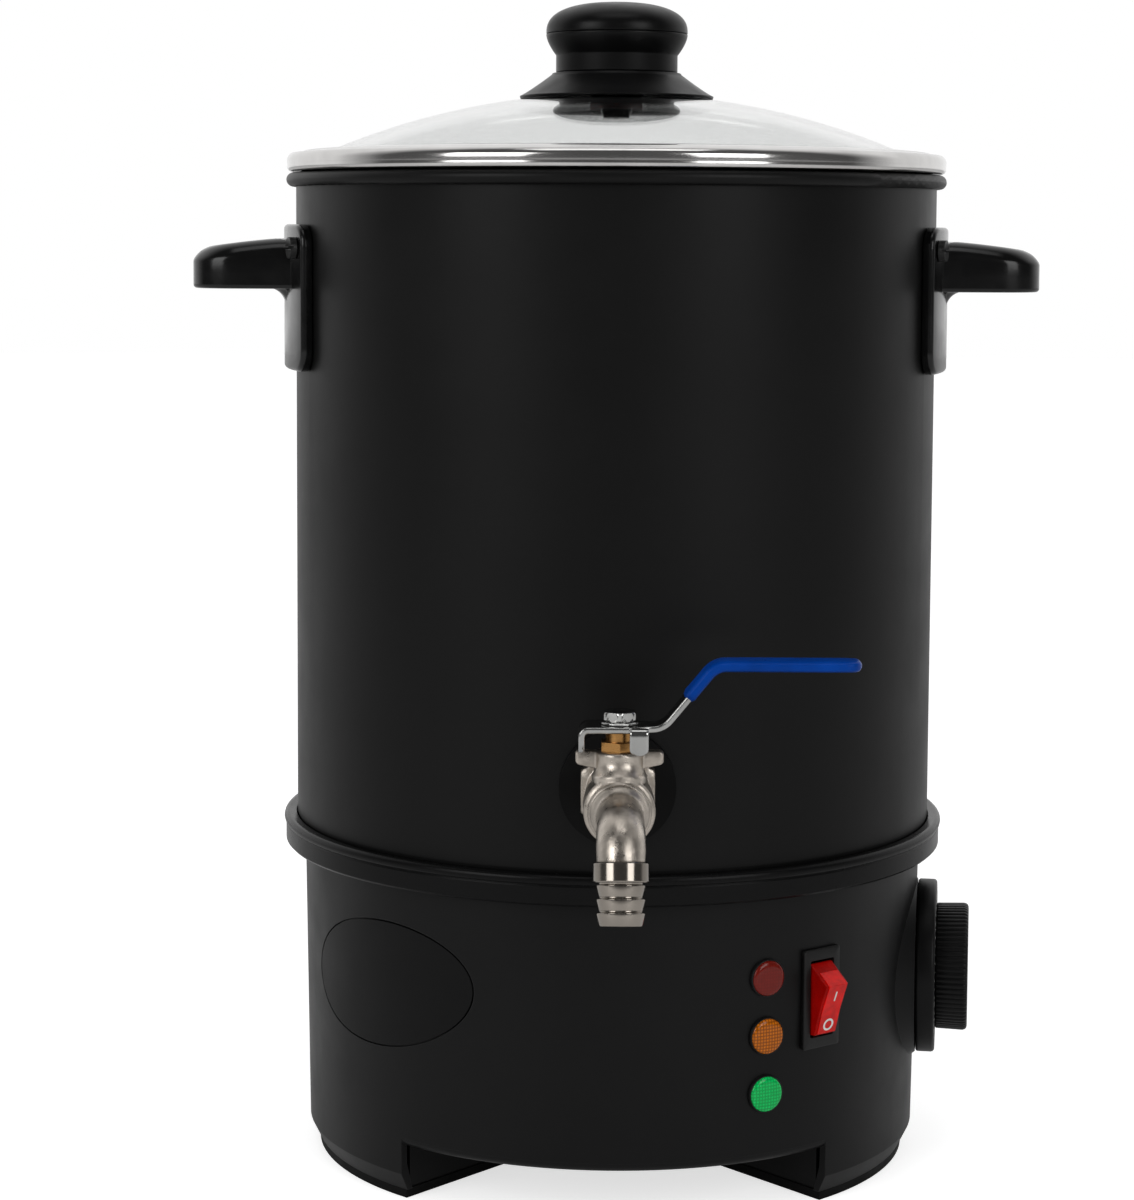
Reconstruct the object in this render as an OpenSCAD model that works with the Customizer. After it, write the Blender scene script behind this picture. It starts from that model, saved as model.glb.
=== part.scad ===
// Electric wax melter: coated steel pot with a ball valve, glass lid and heated base.
// Millimetres. +Z is up, the front (spout side) looks along -Y, the origin is on the
// supporting surface under the middle of the pot.

/* [Pot] */
// Outer radius of the pot wall
pot_r = 110; // [100:1:125]
// Thickness of the pot wall
pot_wall = 1.2; // [0.8:0.1:2]
// Height of the pot's underside above the table
pot_z = 112; // [108:0.5:120]
// Height of the pot from its underside to the middle of the rim roll
pot_h = 222.2; // [180:1:260]
// Radius of the rolled rim's section
rim_r = 2.4; // [1.8:0.1:3]

/* [Lid] */
// Radius of the glass dome's sphere
dome_r = 250; // [235:1:275]
// Thickness of the glass
glass_t = 3; // [2.5:0.1:3.4]
// Reach of the lid's steel band beyond the pot wall
band_reach = 3.2; // [3:0.1:3.6]
// Largest radius of the knob
knob_r = 24.3; // [20:0.1:26]
// Height that the lid lifts on its stand-in slide
lid_lift = 120; // [60:5:160]

/* [Handles] */
// Reach of the grips beyond the pot wall
grip_reach = 33.3; // [28:0.1:40]
// Half width of a grip
grip_half_w = 34; // [26:0.5:38]
// Drop from the middle of the rim roll to the underside of the grips
grip_drop = 36.8; // [34:0.1:60]
// Half width of a mounting lug
lug_half_w = 45.5; // [42:0.5:50]

/* [Valve] */
// Height of the valve's inlet axis above the pot's underside
valve_rise = 32; // [28:0.5:38]
// Distance of the valve stem from the pot wall
stem_reach = 33; // [31:0.5:35]
// Distance of the spout's middle from the pot wall
spout_reach = 70; // [67:0.5:76]
// Angle that the hose tail leans forward
spout_tilt = 14; // [0:1:25]
// Outer radius of the spout tube
spout_r = 7; // [6.4:0.1:7.4]
// Radius of the ball
ball_r = 7.6; // [7:0.1:7.8]
// Radius of the bore that the wax runs through
flow_r = 4.4; // [3.5:0.1:4.6]
// Reach of the lever from the stem
lever_reach = 72.8; // [55:0.1:85]
// Height of the lever's grip above its hub
lever_rise = 19.1; // [15:0.1:24]

/* [Base] */
// Step in from the pot wall to the base housing near its foot
base_step = 4.2; // [3:0.1:6]
// Wall thickness of the base housing
base_wall = 2.6; // [2:0.1:3]
// Height of the arches between the feet
arch_z = 18.3; // [14:0.1:22]
// Angle from the front at which a foot begins
foot_angle = 41; // [36:0.5:46]
// Reach of the collar beyond the pot wall
collar_reach = 4; // [3.2:0.1:6]

/* [Controls] */
// Angle of the dial from the front
dial_angle = 82; // [78:0.5:86]
// Height of the dial's axis
dial_z = 63.4; // [58:0.1:66]
// Radius of the dial's scale disc
dial_r = 29.75; // [26:0.05:30]
// Radius of the dial's fluted grip
dial_grip_r = 21.9; // [18:0.1:24]
// Angle of the switch from the front
switch_angle = 38.4; // [38:0.1:42]
// Height of the switch's middle
switch_z = 70.1; // [62:0.1:76]
// Tilt of the rocker to either side
rocker_tilt = 18; // [12:0.5:18]
// Angle of the lamps from the front
lamp_angle = 27; // [24:0.5:28]
// Height of the lowest lamp
lamp_z = 41.3; // [38:0.1:46]
// Distance between two lamps
lamp_pitch = 19.05; // [17:0.05:21]
// Radius of a lamp lens
lamp_r = 6.15; // [5.8:0.05:7]

/* [Hidden] */
$fn = 96;

// Clearances
fit_gap = 0.05;      // faces that touch on one body
run_gap = 0.06;      // radial play of a turning shaft or pin
seat_gap = 0.3;      // between bodies that move apart
eps = 0.5;           // overshoot of a cutting tool

// Pot and rim
floor_t = 1.5;
pot_corner_r = 5;
rim_z = pot_z + pot_h;
rim_mid_r = pot_r + rim_r - pot_wall - 0.3;
rim_top = rim_z + rim_r;
pot_in = pot_r - pot_wall;
grip_z = rim_z - grip_drop;
valve_z = pot_z + valve_rise;
stem_d = pot_r + stem_reach;
spout_d = pot_r + spout_reach;

// Lid
band_r = pot_r + band_reach;
glass_edge_r = band_r - 6.7;
band_in = band_r - 13.7;
edge_rise = 3.68;
lid_z = rim_top + seat_gap;
dome_rise = edge_rise + dome_r - sqrt(dome_r * dome_r - glass_edge_r * glass_edge_r);
dome_top = lid_z + dome_rise;
dome_mid = dome_top - dome_r;
vent_at_r = glass_edge_r - 21.5;
vent_angle = 135.6;
vent_r = 3;
knob_screw_r = 2.5;
skirt_r = 33.3;
skirt_top_r = 22.3;
skirt_top = dome_top + 6.8;
neck_r = 21.1;
neck_h = 6;
knob_mid = skirt_top + 13.3;
knob_cap_h = 10.8;

// Base
base_r = pot_r - base_step;
collar_r = pot_r + collar_reach;
collar_in = pot_r - 12;
shelf_in = base_r - 8.8;
collar_top = pot_z + 4.2;
collar_low = pot_z - 5.8;
shell_top = pot_z - 3.5;
base_low = 9;
base_draft = 0.0149;
foot_z = 3;
shelf_t = 3.4;
tray_t = 2.5;
pedestal_in = base_r - 58.8;
boss_r = 4.5;
boss_d = base_r - 13.8;
boss_angles = [-24, 24, 156, 204];
screw_r = 1.75;
gland_angle = 180;
gland_z = 38;
gland_r = 3.6;

// Dial
dial_back = base_radius(dial_z) + 0.9;
disc_t = 6.4;
grip_t = 11;
shaft_r = 3;
bezel_r = 30.6;
boss_flare = 0.74;
therm_w = 38;
flute_count = 72;

// Switch
bezel_h = 32.8;
bezel_w = 15.6;
bezel_t = 1.2;
open_h = 26.4;
open_w = 10.4;
rocker_w = 9.8;
rocker_end = [12.7, 0.6];
rocker_ridge = [9, 10.3];
pivot_in = 5;
pivot_r = 1.5;

// Valve
gasket_r = 18.4;
flange_d = pot_r + 3;
flange_t = 6.5;
flange_af = 23;
spigot_r = 10;
housing_r = 10.9;
housing_end = stem_d + 7.5;
nose_r = 9.6;
nose_t = 3.4;
bend_r = 11.4;
boss_top = valve_z + 17.6;
valve_boss_r = 7.5;
stem_r = 2.9;
plate_z = boss_top + 6.1;
plate_t = 2;
collar_h = 5.8;
tail_neck = 0.6;
tail_z = valve_z - bend_r * (1 - sin(spout_tilt));
tail_collar_r = 8.3;
barb_r = 7.25;
barb_count = 3;
barb_h = 4;
lever_w = 10;
sleeve_t = 0.8;

// Lamps
lamp_heights = [lamp_z + 2 * lamp_pitch, lamp_z + lamp_pitch, lamp_z];
lamp_body_r = 5;

// Heater
plate_r = base_r - 27.8;
plate_h = 6;
coil_mid_r = plate_r - 26;
coil_r = 3.5;
stud_ring_r = base_r - 15.8;
stud_r = 2.5;
centre_stud_r = 3;
shield_z = 88;

// Outer radius of the base housing at height z
function base_radius(z) = base_r + (z - base_low) * base_draft;
// Points of an arc from angle a0 to a1
function arc(c, r, a0, a1, n = 8) =
    [for (i = [0:n]) let (a = a0 + (a1 - a0) * i / n) [c[0] + r * cos(a), c[1] + r * sin(a)]];
// Height of the dome's outside at radius r
function dome_z(r) = dome_mid + sqrt(dome_r * dome_r - r * r);

// A frame on a wall: x to the right, y up, z outwards from the pot axis
module on_wall(angle, z) {
    rotate([0, 0, angle]) translate([0, 0, z]) rotate([90, 0, 0]) children();
}
module tube(r_out, r_in, z0, z1) {
    difference() {
        translate([0, 0, z0]) cylinder(r = r_out, h = z1 - z0);
        translate([0, 0, z0 - eps]) cylinder(r = r_in, h = z1 - z0 + 2 * eps);
    }
}
module disc(r, z0, z1) {
    translate([0, 0, z0]) cylinder(r = r, h = z1 - z0);
}
module hexagon(across, z0, z1) {
    translate([0, 0, z0]) rotate([0, 0, 30]) cylinder(r = across / 2 / cos(30), h = z1 - z0, $fn = 6);
}
// A ring sector; angles count from the front, to the right
module sector(r_in, r_out, a0, a1, z0, z1) {
    rotate([0, 0, a0 - 90]) rotate_extrude(angle = a1 - a0)
        translate([r_in, z0]) square([r_out - r_in, z1 - z0]);
}
module round_rect(w, h, r) {
    square([w, h - 2 * r], center = true);
    square([w - 2 * r, h], center = true);
    for (sx = [-1, 1]) for (sy = [-1, 1])
        translate([sx * (w / 2 - r), sy * (h / 2 - r)]) circle(r = r, $fn = 32);
}
module at_studs(r) {
    for (a = [60, 180, 300]) rotate([0, 0, a]) translate([0, -r, 0]) children();
}

// ---- Pot ----
module pot_shell() {
    color([0.05, 0.05, 0.05])
    difference() {
        union() {
            rotate_extrude() difference() {
                polygon(concat(
                    [[0, pot_z]],
                    arc([pot_r - pot_corner_r, pot_z + pot_corner_r], pot_corner_r, -90, 0),
                    [[pot_r, rim_z], [0, rim_z]]));
                polygon(concat(
                    [[0, pot_z + floor_t]],
                    arc([pot_r - pot_corner_r, pot_z + pot_corner_r], pot_corner_r - pot_wall, -90, 0),
                    [[pot_in, rim_z + eps], [0, rim_z + eps]]));
            }
            rotate_extrude() translate([rim_mid_r, rim_z]) circle(r = rim_r, $fn = 32);
        }
        on_wall(0, valve_z) disc(spigot_r + run_gap, pot_r - 20, pot_r + 5);
        handle_screw_places() disc(screw_r + run_gap, pot_r - 5, pot_r + 5);
    }
}
module pot_studs() {
    color("silver") {
        at_studs(stud_ring_r) disc(stud_r, shield_z - 5, pot_z);
        disc(centre_stud_r, pot_z - plate_h - 2 * coil_r - 8, pot_z);
    }
}
module stud_nuts() {
    color("silver") at_studs(stud_ring_r) {
        for (z = [shell_top - shelf_t - 1.2 - 4, shield_z - 4, shield_z + 1])
            difference() {
                hexagon(8, z, z + (z > shield_z + 2 ? 4 : 3.6));
                disc(stud_r + fit_gap, z - eps, z + 5);
            }
    }
}

// ---- Handles ----
screw_z = grip_z + 13.8;
screw_angle = 69.8;
module handle_screw_places() {
    for (a = [screw_angle, 180 - screw_angle, -screw_angle, screw_angle - 180])
        on_wall(a, screw_z) children();
}
module grip_section(inset) {
    x0 = pot_r + 1.5;
    x1 = pot_r + grip_reach - inset;
    top = grip_z + 16.9 - inset * 1.4;
    polygon(concat(
        [[x0, grip_z - (inset > 0 ? 2 * eps : 0)], [x1 - 0.6, grip_z - (inset > 0 ? 2 * eps : 0)]],
        arc([x1 - 8, top - 9.2], 8, 0, 74, 6),
        [[x1 - 17, top - 0.9], [x0, top]]));
}
module grip_plan(inset) {
    w = 2 * (grip_half_w - inset);
    reach = grip_reach - inset;
    translate([pot_r - 10 + (reach + 10) / 2, 0]) round_rect(reach + 10, w, 13 - inset);
}
module grip_block(inset) {
    intersection() {
        translate([0, 0, grip_z - 5]) linear_extrude(height = 30) grip_plan(inset);
        translate([0, grip_half_w + 5, 0]) rotate([90, 0, 0])
            linear_extrude(height = 2 * grip_half_w + 10) grip_section(inset);
    }
}
module handle() {
    lug_r = pot_r + 4.3;
    lug_low = grip_z - 27.4;
    lug_high = grip_z + 21.6;
    fillet = 5.5;
    difference() {
        union() {
            intersection() {
                tube(lug_r, pot_r + fit_gap, lug_low - 1, lug_high + 1);
                translate([pot_r / 4, 0, (lug_low + lug_high) / 2]) rotate([90, 0, 90])
                    linear_extrude(height = pot_r) round_rect(2 * lug_half_w, lug_high - lug_low, 7);
            }
            difference() {
                grip_block(0);
                grip_block(3);
                disc(lug_r - 1, grip_z - 10, grip_z + 30);
                translate([pot_r + grip_reach - 6, -13, grip_z - 1]) cube([10, 26, 4.4]);
            }
            difference() {
                translate([pot_r + 1, -grip_half_w + 8, grip_z - fillet])
                    cube([fillet + 3.3, 2 * grip_half_w - 16, fillet + 3]);
                translate([pot_r + 4.3 + fillet, grip_half_w, grip_z - fillet]) rotate([90, 0, 0])
                    cylinder(r = fillet, h = 2 * grip_half_w, $fn = 48);
                disc(lug_r - 1, grip_z - 10, grip_z + 30);
            }
        }
        handle_screw_places() disc(screw_r + fit_gap, pot_r - 5, pot_r + 10);
    }
}
module handle_right() {
    color([0.02, 0.02, 0.02]) handle();
}
module handle_left() {
    color([0.02, 0.02, 0.02]) mirror([1, 0, 0]) handle();
}
module handle_screws() {
    head_at = pot_r + 4.35;
    color("silver") handle_screw_places() {
        disc(screw_r, pot_in - 4.6, head_at + 1);
        difference() {
            disc(3.6, head_at, head_at + 2.2);
            translate([-5, -0.5, head_at + 1.2]) cube([10, 1, 2]);
        }
    }
}

module handle_nuts() {
    nut_at = pot_in - 0.15;
    color("silver") handle_screw_places() difference() {
        union() {
            hexagon(7.6, nut_at - 4, nut_at);
            translate([0, 0, nut_at - 4]) sphere(r = 3.4, $fn = 48);
        }
        disc(screw_r + fit_gap, nut_at - 5, nut_at + 1);
    }
}

// ---- Lid ----
module glass_form(r_out, r_in, edge) {
    intersection() {
        translate([0, 0, dome_mid]) difference() {
            sphere(r = r_out, $fn = 200);
            sphere(r = r_in, $fn = 200);
        }
        disc(edge, lid_z + 0.8, dome_top + 5);
    }
}
// A frame on the dome: z outwards from the sphere's middle
module on_dome(angle, r) {
    rotate([0, 0, angle]) translate([0, 0, dome_mid]) rotate([asin(r / dome_r), 0, 0]) children();
}
module lid_glass() {
    color([0.85, 0.9, 0.9, 0.35])
    difference() {
        glass_form(dome_r, dome_r - glass_t, glass_edge_r);
        disc(knob_screw_r + run_gap, dome_top - 20, dome_top + 5);
        on_dome(vent_angle, vent_at_r) disc(vent_r + fit_gap, dome_r - 10, dome_r + 5);
    }
}
module lid_band() {
    lip_r = pot_in - 2.2;
    color("gainsboro")
    difference() {
        rotate_extrude() polygon(concat(
            [[band_in, dome_z(band_in) - 1], [band_in, dome_z(band_in) + 1.1], [band_r - 5.2, lid_z + 7]],
            arc([band_r - 3, lid_z + 4.1], 3, 60, 0, 6),
            arc([band_r - 2, lid_z + 2], 2, 0, -90, 6),
            [[lip_r, lid_z], [lip_r, lid_z - 5], [lip_r - 0.9, lid_z - 5], [lip_r - 0.9, lid_z + 0.8]]));
        glass_form(dome_r + fit_gap, dome_r - glass_t - fit_gap, glass_edge_r + fit_gap);
    }
}
module vent_eyelet() {
    color("gainsboro") on_dome(vent_angle, vent_at_r) difference() {
        union() {
            disc(vent_r, dome_r - glass_t - 0.7, dome_r + 0.7);
            disc(5, dome_r + fit_gap, dome_r + 0.8);
            disc(5, dome_r - glass_t - 0.8, dome_r - glass_t - fit_gap);
        }
        disc(2.1, dome_r - 10, dome_r + 5);
    }
}
module knob_skirt() {
    low = dome_z(skirt_r) + 0.4;
    color([0.06, 0.06, 0.06]) rotate_extrude() {
        polygon([[skirt_r - 1.6, low], [skirt_r, low], [skirt_r, low + 0.9], [skirt_top_r, skirt_top - 0.5],
            [skirt_top_r - 0.5, skirt_top], [knob_screw_r + run_gap, skirt_top],
            [knob_screw_r + run_gap, dome_top + fit_gap], [9, dome_top + fit_gap], [9, skirt_top - 2],
            [skirt_top_r - 2.5, skirt_top - 2]]);
    }
}
module knob_body() {
    neck_top = skirt_top + neck_h;
    color([0.06, 0.06, 0.06]) difference() {
        rotate_extrude() polygon([[0, skirt_top], [neck_r - 0.5, skirt_top], [neck_r, skirt_top + 0.5],
            [neck_r, neck_top], [neck_r + 1.5, neck_top + 2.3], [knob_r - 0.5, knob_mid - 2.4],
            [knob_r, knob_mid], [0, knob_mid]]);
        disc(knob_screw_r + fit_gap, skirt_top - eps, knob_mid - 3);
    }
}
module knob_cap() {
    squareness = 2.4;
    steps = 14;
    color([0.06, 0.06, 0.06]) rotate_extrude() polygon(concat([[0, knob_mid + fit_gap]],
        [for (i = [0:steps]) let (t = 90 * i / steps)
            [knob_r * pow(cos(t), 2 / squareness),
             knob_mid + fit_gap + knob_cap_h * pow(sin(t), 2 / squareness)]]));
}
module knob_screw() {
    head_z = dome_top - glass_t - 1.6;
    color("silver") {
        disc(knob_screw_r, head_z - 1, knob_mid - 4);
        difference() {
            translate([0, 0, head_z - 3.4]) cylinder(r1 = 4.4, r2 = 5.6, h = 3.4);
            for (a = [0, 90]) rotate([0, 0, a]) translate([-3, -0.6, head_z - 4.4]) cube([6, 1.2, 2.6]);
        }
    }
}
module knob_washer() {
    under = dome_top - glass_t;
    color([0.5, 0.5, 0.5]) tube(9, knob_screw_r + fit_gap, under - 1.6, under - 0.2);
}

// ---- Valve ----
module valve_body() {
    ear_half = 2.4;
    color([0.75, 0.73, 0.7]) difference() {
        union() {
            on_wall(0, valve_z) {
                disc(spigot_r, pot_r - 13, flange_d + 1);
                hexagon(flange_af, flange_d, flange_d + flange_t);
                disc(housing_r, flange_d + 1, housing_end);
                disc(nose_r, housing_end - 1, housing_end + nose_t);
            }
            translate([0, -stem_d, 0]) disc(valve_boss_r, valve_z, boss_top);
            translate([-13.3, -stem_d - ear_half, boss_top - 5.4]) cube([26.6, 2 * ear_half, 5.4]);
        }
        on_wall(0, valve_z) {
            disc(flow_r, pot_r - 14, housing_end + nose_t + 1);
            disc(ball_r + 0.35, stem_d - ball_r - 2.2, housing_end + nose_t + 1);
        }
        translate([0, -stem_d, 0]) {
            disc(stem_r + run_gap, valve_z, boss_top + 1);
            disc(stem_r + 1.5, boss_top - 5, boss_top + 1);
        }
    }
}
module valve_spout() {
    start = stem_d + ball_r + 2.2;
    bend_d = spout_d - bend_r * cos(spout_tilt);
    color([0.72, 0.7, 0.66]) difference() {
        union() {
            on_wall(0, valve_z) {
                disc(ball_r + 0.3, start, housing_end + nose_t);
                translate([0, 0, housing_end + nose_t + fit_gap])
                    cylinder(r1 = nose_r - 0.6, r2 = spout_r, h = 3.4);
                disc(spout_r, start, bend_d);
            }
            translate([0, -bend_d, valve_z - bend_r]) rotate([90, 0, -90]) rotate([0, 0, spout_tilt])
                rotate_extrude(angle = 90 - spout_tilt) translate([bend_r, 0]) circle(r = spout_r, $fn = 64);
        }
        on_wall(0, valve_z) disc(flow_r, start - 1, bend_d);
        translate([0, -bend_d, valve_z - bend_r]) rotate([90, 0, -90]) rotate([0, 0, spout_tilt])
            rotate_extrude(angle = 90 - spout_tilt) translate([bend_r, 0]) circle(r = flow_r, $fn = 48);
    }
}
module hose_tail() {
    color([0.8, 0.78, 0.75]) translate([0, -spout_d, tail_z]) rotate([-spout_tilt, 0, 0]) difference() {
        union() {
            disc(tail_collar_r, -collar_h, -fit_gap);
            for (i = [0:barb_count - 1]) translate([0, 0, -collar_h - tail_neck - (i + 1) * barb_h])
                cylinder(r1 = barb_r - 0.75, r2 = barb_r, h = barb_h - 0.5);
            disc(barb_r - 0.9, -collar_h - tail_neck - barb_count * barb_h, -1);
        }
        disc(flow_r, -collar_h - barb_count * barb_h - 3, 1);
    }
}
module valve_ball() {
    color("silver") translate([0, -stem_d, valve_z]) difference() {
        sphere(r = ball_r);
        rotate([0, 90, 0]) cylinder(r = flow_r, h = 3 * ball_r, center = true);
        translate([-ball_r, -1.3, ball_r - 2]) cube([2 * ball_r, 2.6, 4]);
    }
}
module valve_seats() {
    seat_t = 5;
    color("white") difference() {
        on_wall(0, valve_z) {
            disc(ball_r + 0.3, stem_d - ball_r - 2.15, stem_d - ball_r - 2.15 + seat_t);
            disc(ball_r + 0.3, stem_d + ball_r + 2.15 - seat_t, stem_d + ball_r + 2.15);
        }
        on_wall(0, valve_z) disc(flow_r, pot_r, spout_d);
        translate([0, -stem_d, valve_z]) sphere(r = ball_r + run_gap);
    }
}
module valve_stem() {
    color("goldenrod") translate([0, -stem_d, 0]) {
        disc(stem_r, valve_z + ball_r + 0.1, plate_z + plate_t + 2.6);
        translate([-2.3, -1.2, valve_z + ball_r - 1.9]) cube([4.6, 2.4, 3]);
    }
}
module stem_packing() {
    color("white") translate([0, -stem_d, 0])
        tube(stem_r + 1.45, stem_r + run_gap, boss_top - 4.95, boss_top - 1.2);
}
module gland_nut() {
    color("goldenrod") translate([0, -stem_d, 0]) difference() {
        union() {
            hexagon(11, boss_top + fit_gap, boss_top + 2.9);
            disc(stem_r + 1.45, boss_top - 1.15, boss_top + 1);
            disc(4.4, boss_top + 2, plate_z - 0.35);
        }
        disc(stem_r + run_gap, boss_top - 2, plate_z + 1);
    }
}
// Side outline of the lever strip, thickened by t on both faces
function lever_path(t) = let (
    x0 = 12.5, r = 6, slope = 50.5, bends = 2 * r + plate_t,
    k = r * tan(slope / 2),
    x1 = x0 - 2 * k + (bends + (lever_rise - bends) * cos(slope)) / sin(slope))
    concat(
        [[x0 - k, plate_z - t]],
        arc([x0 - k, plate_z + plate_t + r], r + plate_t + t, -90, slope - 90, 5),
        arc([x1 + k, plate_z + lever_rise - r], r - t, 90 + slope, 90, 5),
        [[lever_reach, plate_z + lever_rise - t], [lever_reach, plate_z + lever_rise + plate_t + t]],
        arc([x1 + k, plate_z + lever_rise - r], r + plate_t + t, 90, 90 + slope, 5),
        arc([x0 - k, plate_z + plate_t + r], r - t, slope - 90, -90, 5));
module lever_outline(w, end) {
    translate([-20, -w / 2]) square([end + 20 - w / 2, w]);
    translate([end - w / 2, 0]) circle(d = w, $fn = 48);
}
module lever_arm(t, w, end) {
    intersection() {
        translate([0, w, 0]) rotate([90, 0, 0]) linear_extrude(height = 2 * w) polygon(lever_path(t));
        translate([0, 0, plate_z - 5]) linear_extrude(height = lever_rise + 15) lever_outline(w, end);
    }
}
module lever_handle() {
    hub_w = 15;
    color("silver") translate([0, -stem_d, 0]) difference() {
        union() {
            translate([-12.4, -hub_w / 2, plate_z]) cube([19.2, hub_w, plate_t]);
            translate([6.5, -lever_w / 2, plate_z]) cube([3.5, lever_w, plate_t]);
            lever_arm(0, lever_w, lever_reach - sleeve_t);
            translate([-12.4, -hub_w / 2, boss_top + seat_gap]) cube([1.8, hub_w, plate_z - boss_top + 1]);
            translate([2.8, -hub_w / 2 - 1.8, plate_z - 6.3]) cube([5.8, 1.8, 8.3]);
            translate([2.8, -hub_w / 2 - 1, plate_z]) cube([5.8, 2, plate_t]);
        }
        disc(stem_r + fit_gap, plate_z - 1, plate_z + 5);
    }
}
module lever_sleeve() {
    cut = 20.4;
    color([0.02, 0.15, 0.6]) translate([0, -stem_d, 0]) difference() {
        lever_arm(sleeve_t, lever_w + 2 * sleeve_t, lever_reach);
        lever_arm(0, lever_w, lever_reach - sleeve_t);
        translate([-30, -15, plate_z - 5]) cube([cut + 30, 30, 50]);
    }
}
module lever_nut() {
    nut_z = plate_z + plate_t + fit_gap;
    color("silver") translate([0, -stem_d, 0]) difference() {
        union() {
            disc(6, nut_z, nut_z + 0.8);
            hexagon(9.6, nut_z + 0.7, nut_z + 4);
        }
        disc(stem_r + fit_gap, nut_z - 1, nut_z + 2.8);
    }
}
module outer_gasket() {
    color([0.04, 0.04, 0.04]) difference() {
        on_wall(0, valve_z) tube(gasket_r, spigot_r + run_gap, pot_r - 4, flange_d - fit_gap);
        translate([0, 0, valve_z - 30]) cylinder(r = pot_r + fit_gap, h = 60, $fn = 480);
    }
}
module inner_gasket() {
    color([0.8, 0.3, 0.2]) intersection() {
        on_wall(0, valve_z) tube(15, spigot_r + run_gap, pot_r - 5, pot_r);
        translate([0, 0, valve_z - 30]) cylinder(r = pot_in - fit_gap, h = 60, $fn = 480);
    }
}
module valve_locknut() {
    color("silver") on_wall(0, valve_z) difference() {
        hexagon(27, pot_r - 10, pot_r - 5 - fit_gap);
        disc(spigot_r + fit_gap, pot_r - 12, pot_r);
    }
}

// ---- Base ----
module base_collar() {
    bead_r = 1.75;
    bead_at = [collar_r - bead_r + 0.6, collar_top - bead_r];
    color([0.06, 0.06, 0.06]) difference() {
        rotate_extrude() polygon(concat(
            [[collar_in, shell_top], [collar_in, pot_z], [pot_r - pot_corner_r, pot_z]],
            [[pot_r - 1.5, pot_z], [pot_r + 0.35, pot_z + pot_corner_r - 3],
                [pot_r + 0.35, collar_top - 0.3]],
            arc(bead_at, bead_r, 90, -60, 8),
            [[collar_r, bead_at[1] - 2], [collar_r, collar_low + 0.8], [collar_r - 0.8, collar_low],
             [base_radius(shell_top) + 0.15, collar_low], [base_radius(shell_top) + 0.15, shell_top]]));
        disc(pot_r - pot_corner_r, pot_z, pot_z + 10);
        translate([0, 0, pot_z + pot_corner_r]) rotate_extrude()
            translate([pot_r - pot_corner_r, 0]) circle(r = pot_corner_r + fit_gap, $fn = 64);
    }
}
module arch_cut(turn) {
    edge_r = 3;
    rotate([0, 0, turn - foot_angle - 90]) rotate_extrude(angle = 2 * foot_angle) {
        translate([base_r / 2, -5]) square([base_r, arch_z + 5]);
        difference() {
            translate([base_r - edge_r, arch_z - eps]) square([edge_r + 5, edge_r + eps]);
            translate([base_radius(arch_z) - edge_r, arch_z + edge_r]) circle(r = edge_r, $fn = 48);
        }
    }
}
module badge_outline(grow) {
    half_w = 38.6;
    half_h = 20.6;
    tilt = 6;
    rotate([0, 0, tilt]) polygon([for (i = [0:71]) let (a = i * 5)
        [(half_w + grow) * cos(a), (half_h + grow) * sin(a)]]);
}
badge_angle = -46.5;
badge_z = 71.5;
badge_t = 0.9;
groove_w = 0.55;
module badge_prism(grow) {
    on_wall(badge_angle, badge_z) translate([0, 0, base_r - 36])
        linear_extrude(height = 50) badge_outline(grow);
}
// The solid inside the housing's outer face, moved out by grow
module base_core(grow) {
    rotate_extrude() polygon([[0, 0], [base_radius(0) + grow, 0],
        [base_radius(shell_top) + grow, shell_top], [0, shell_top]]);
}
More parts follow.
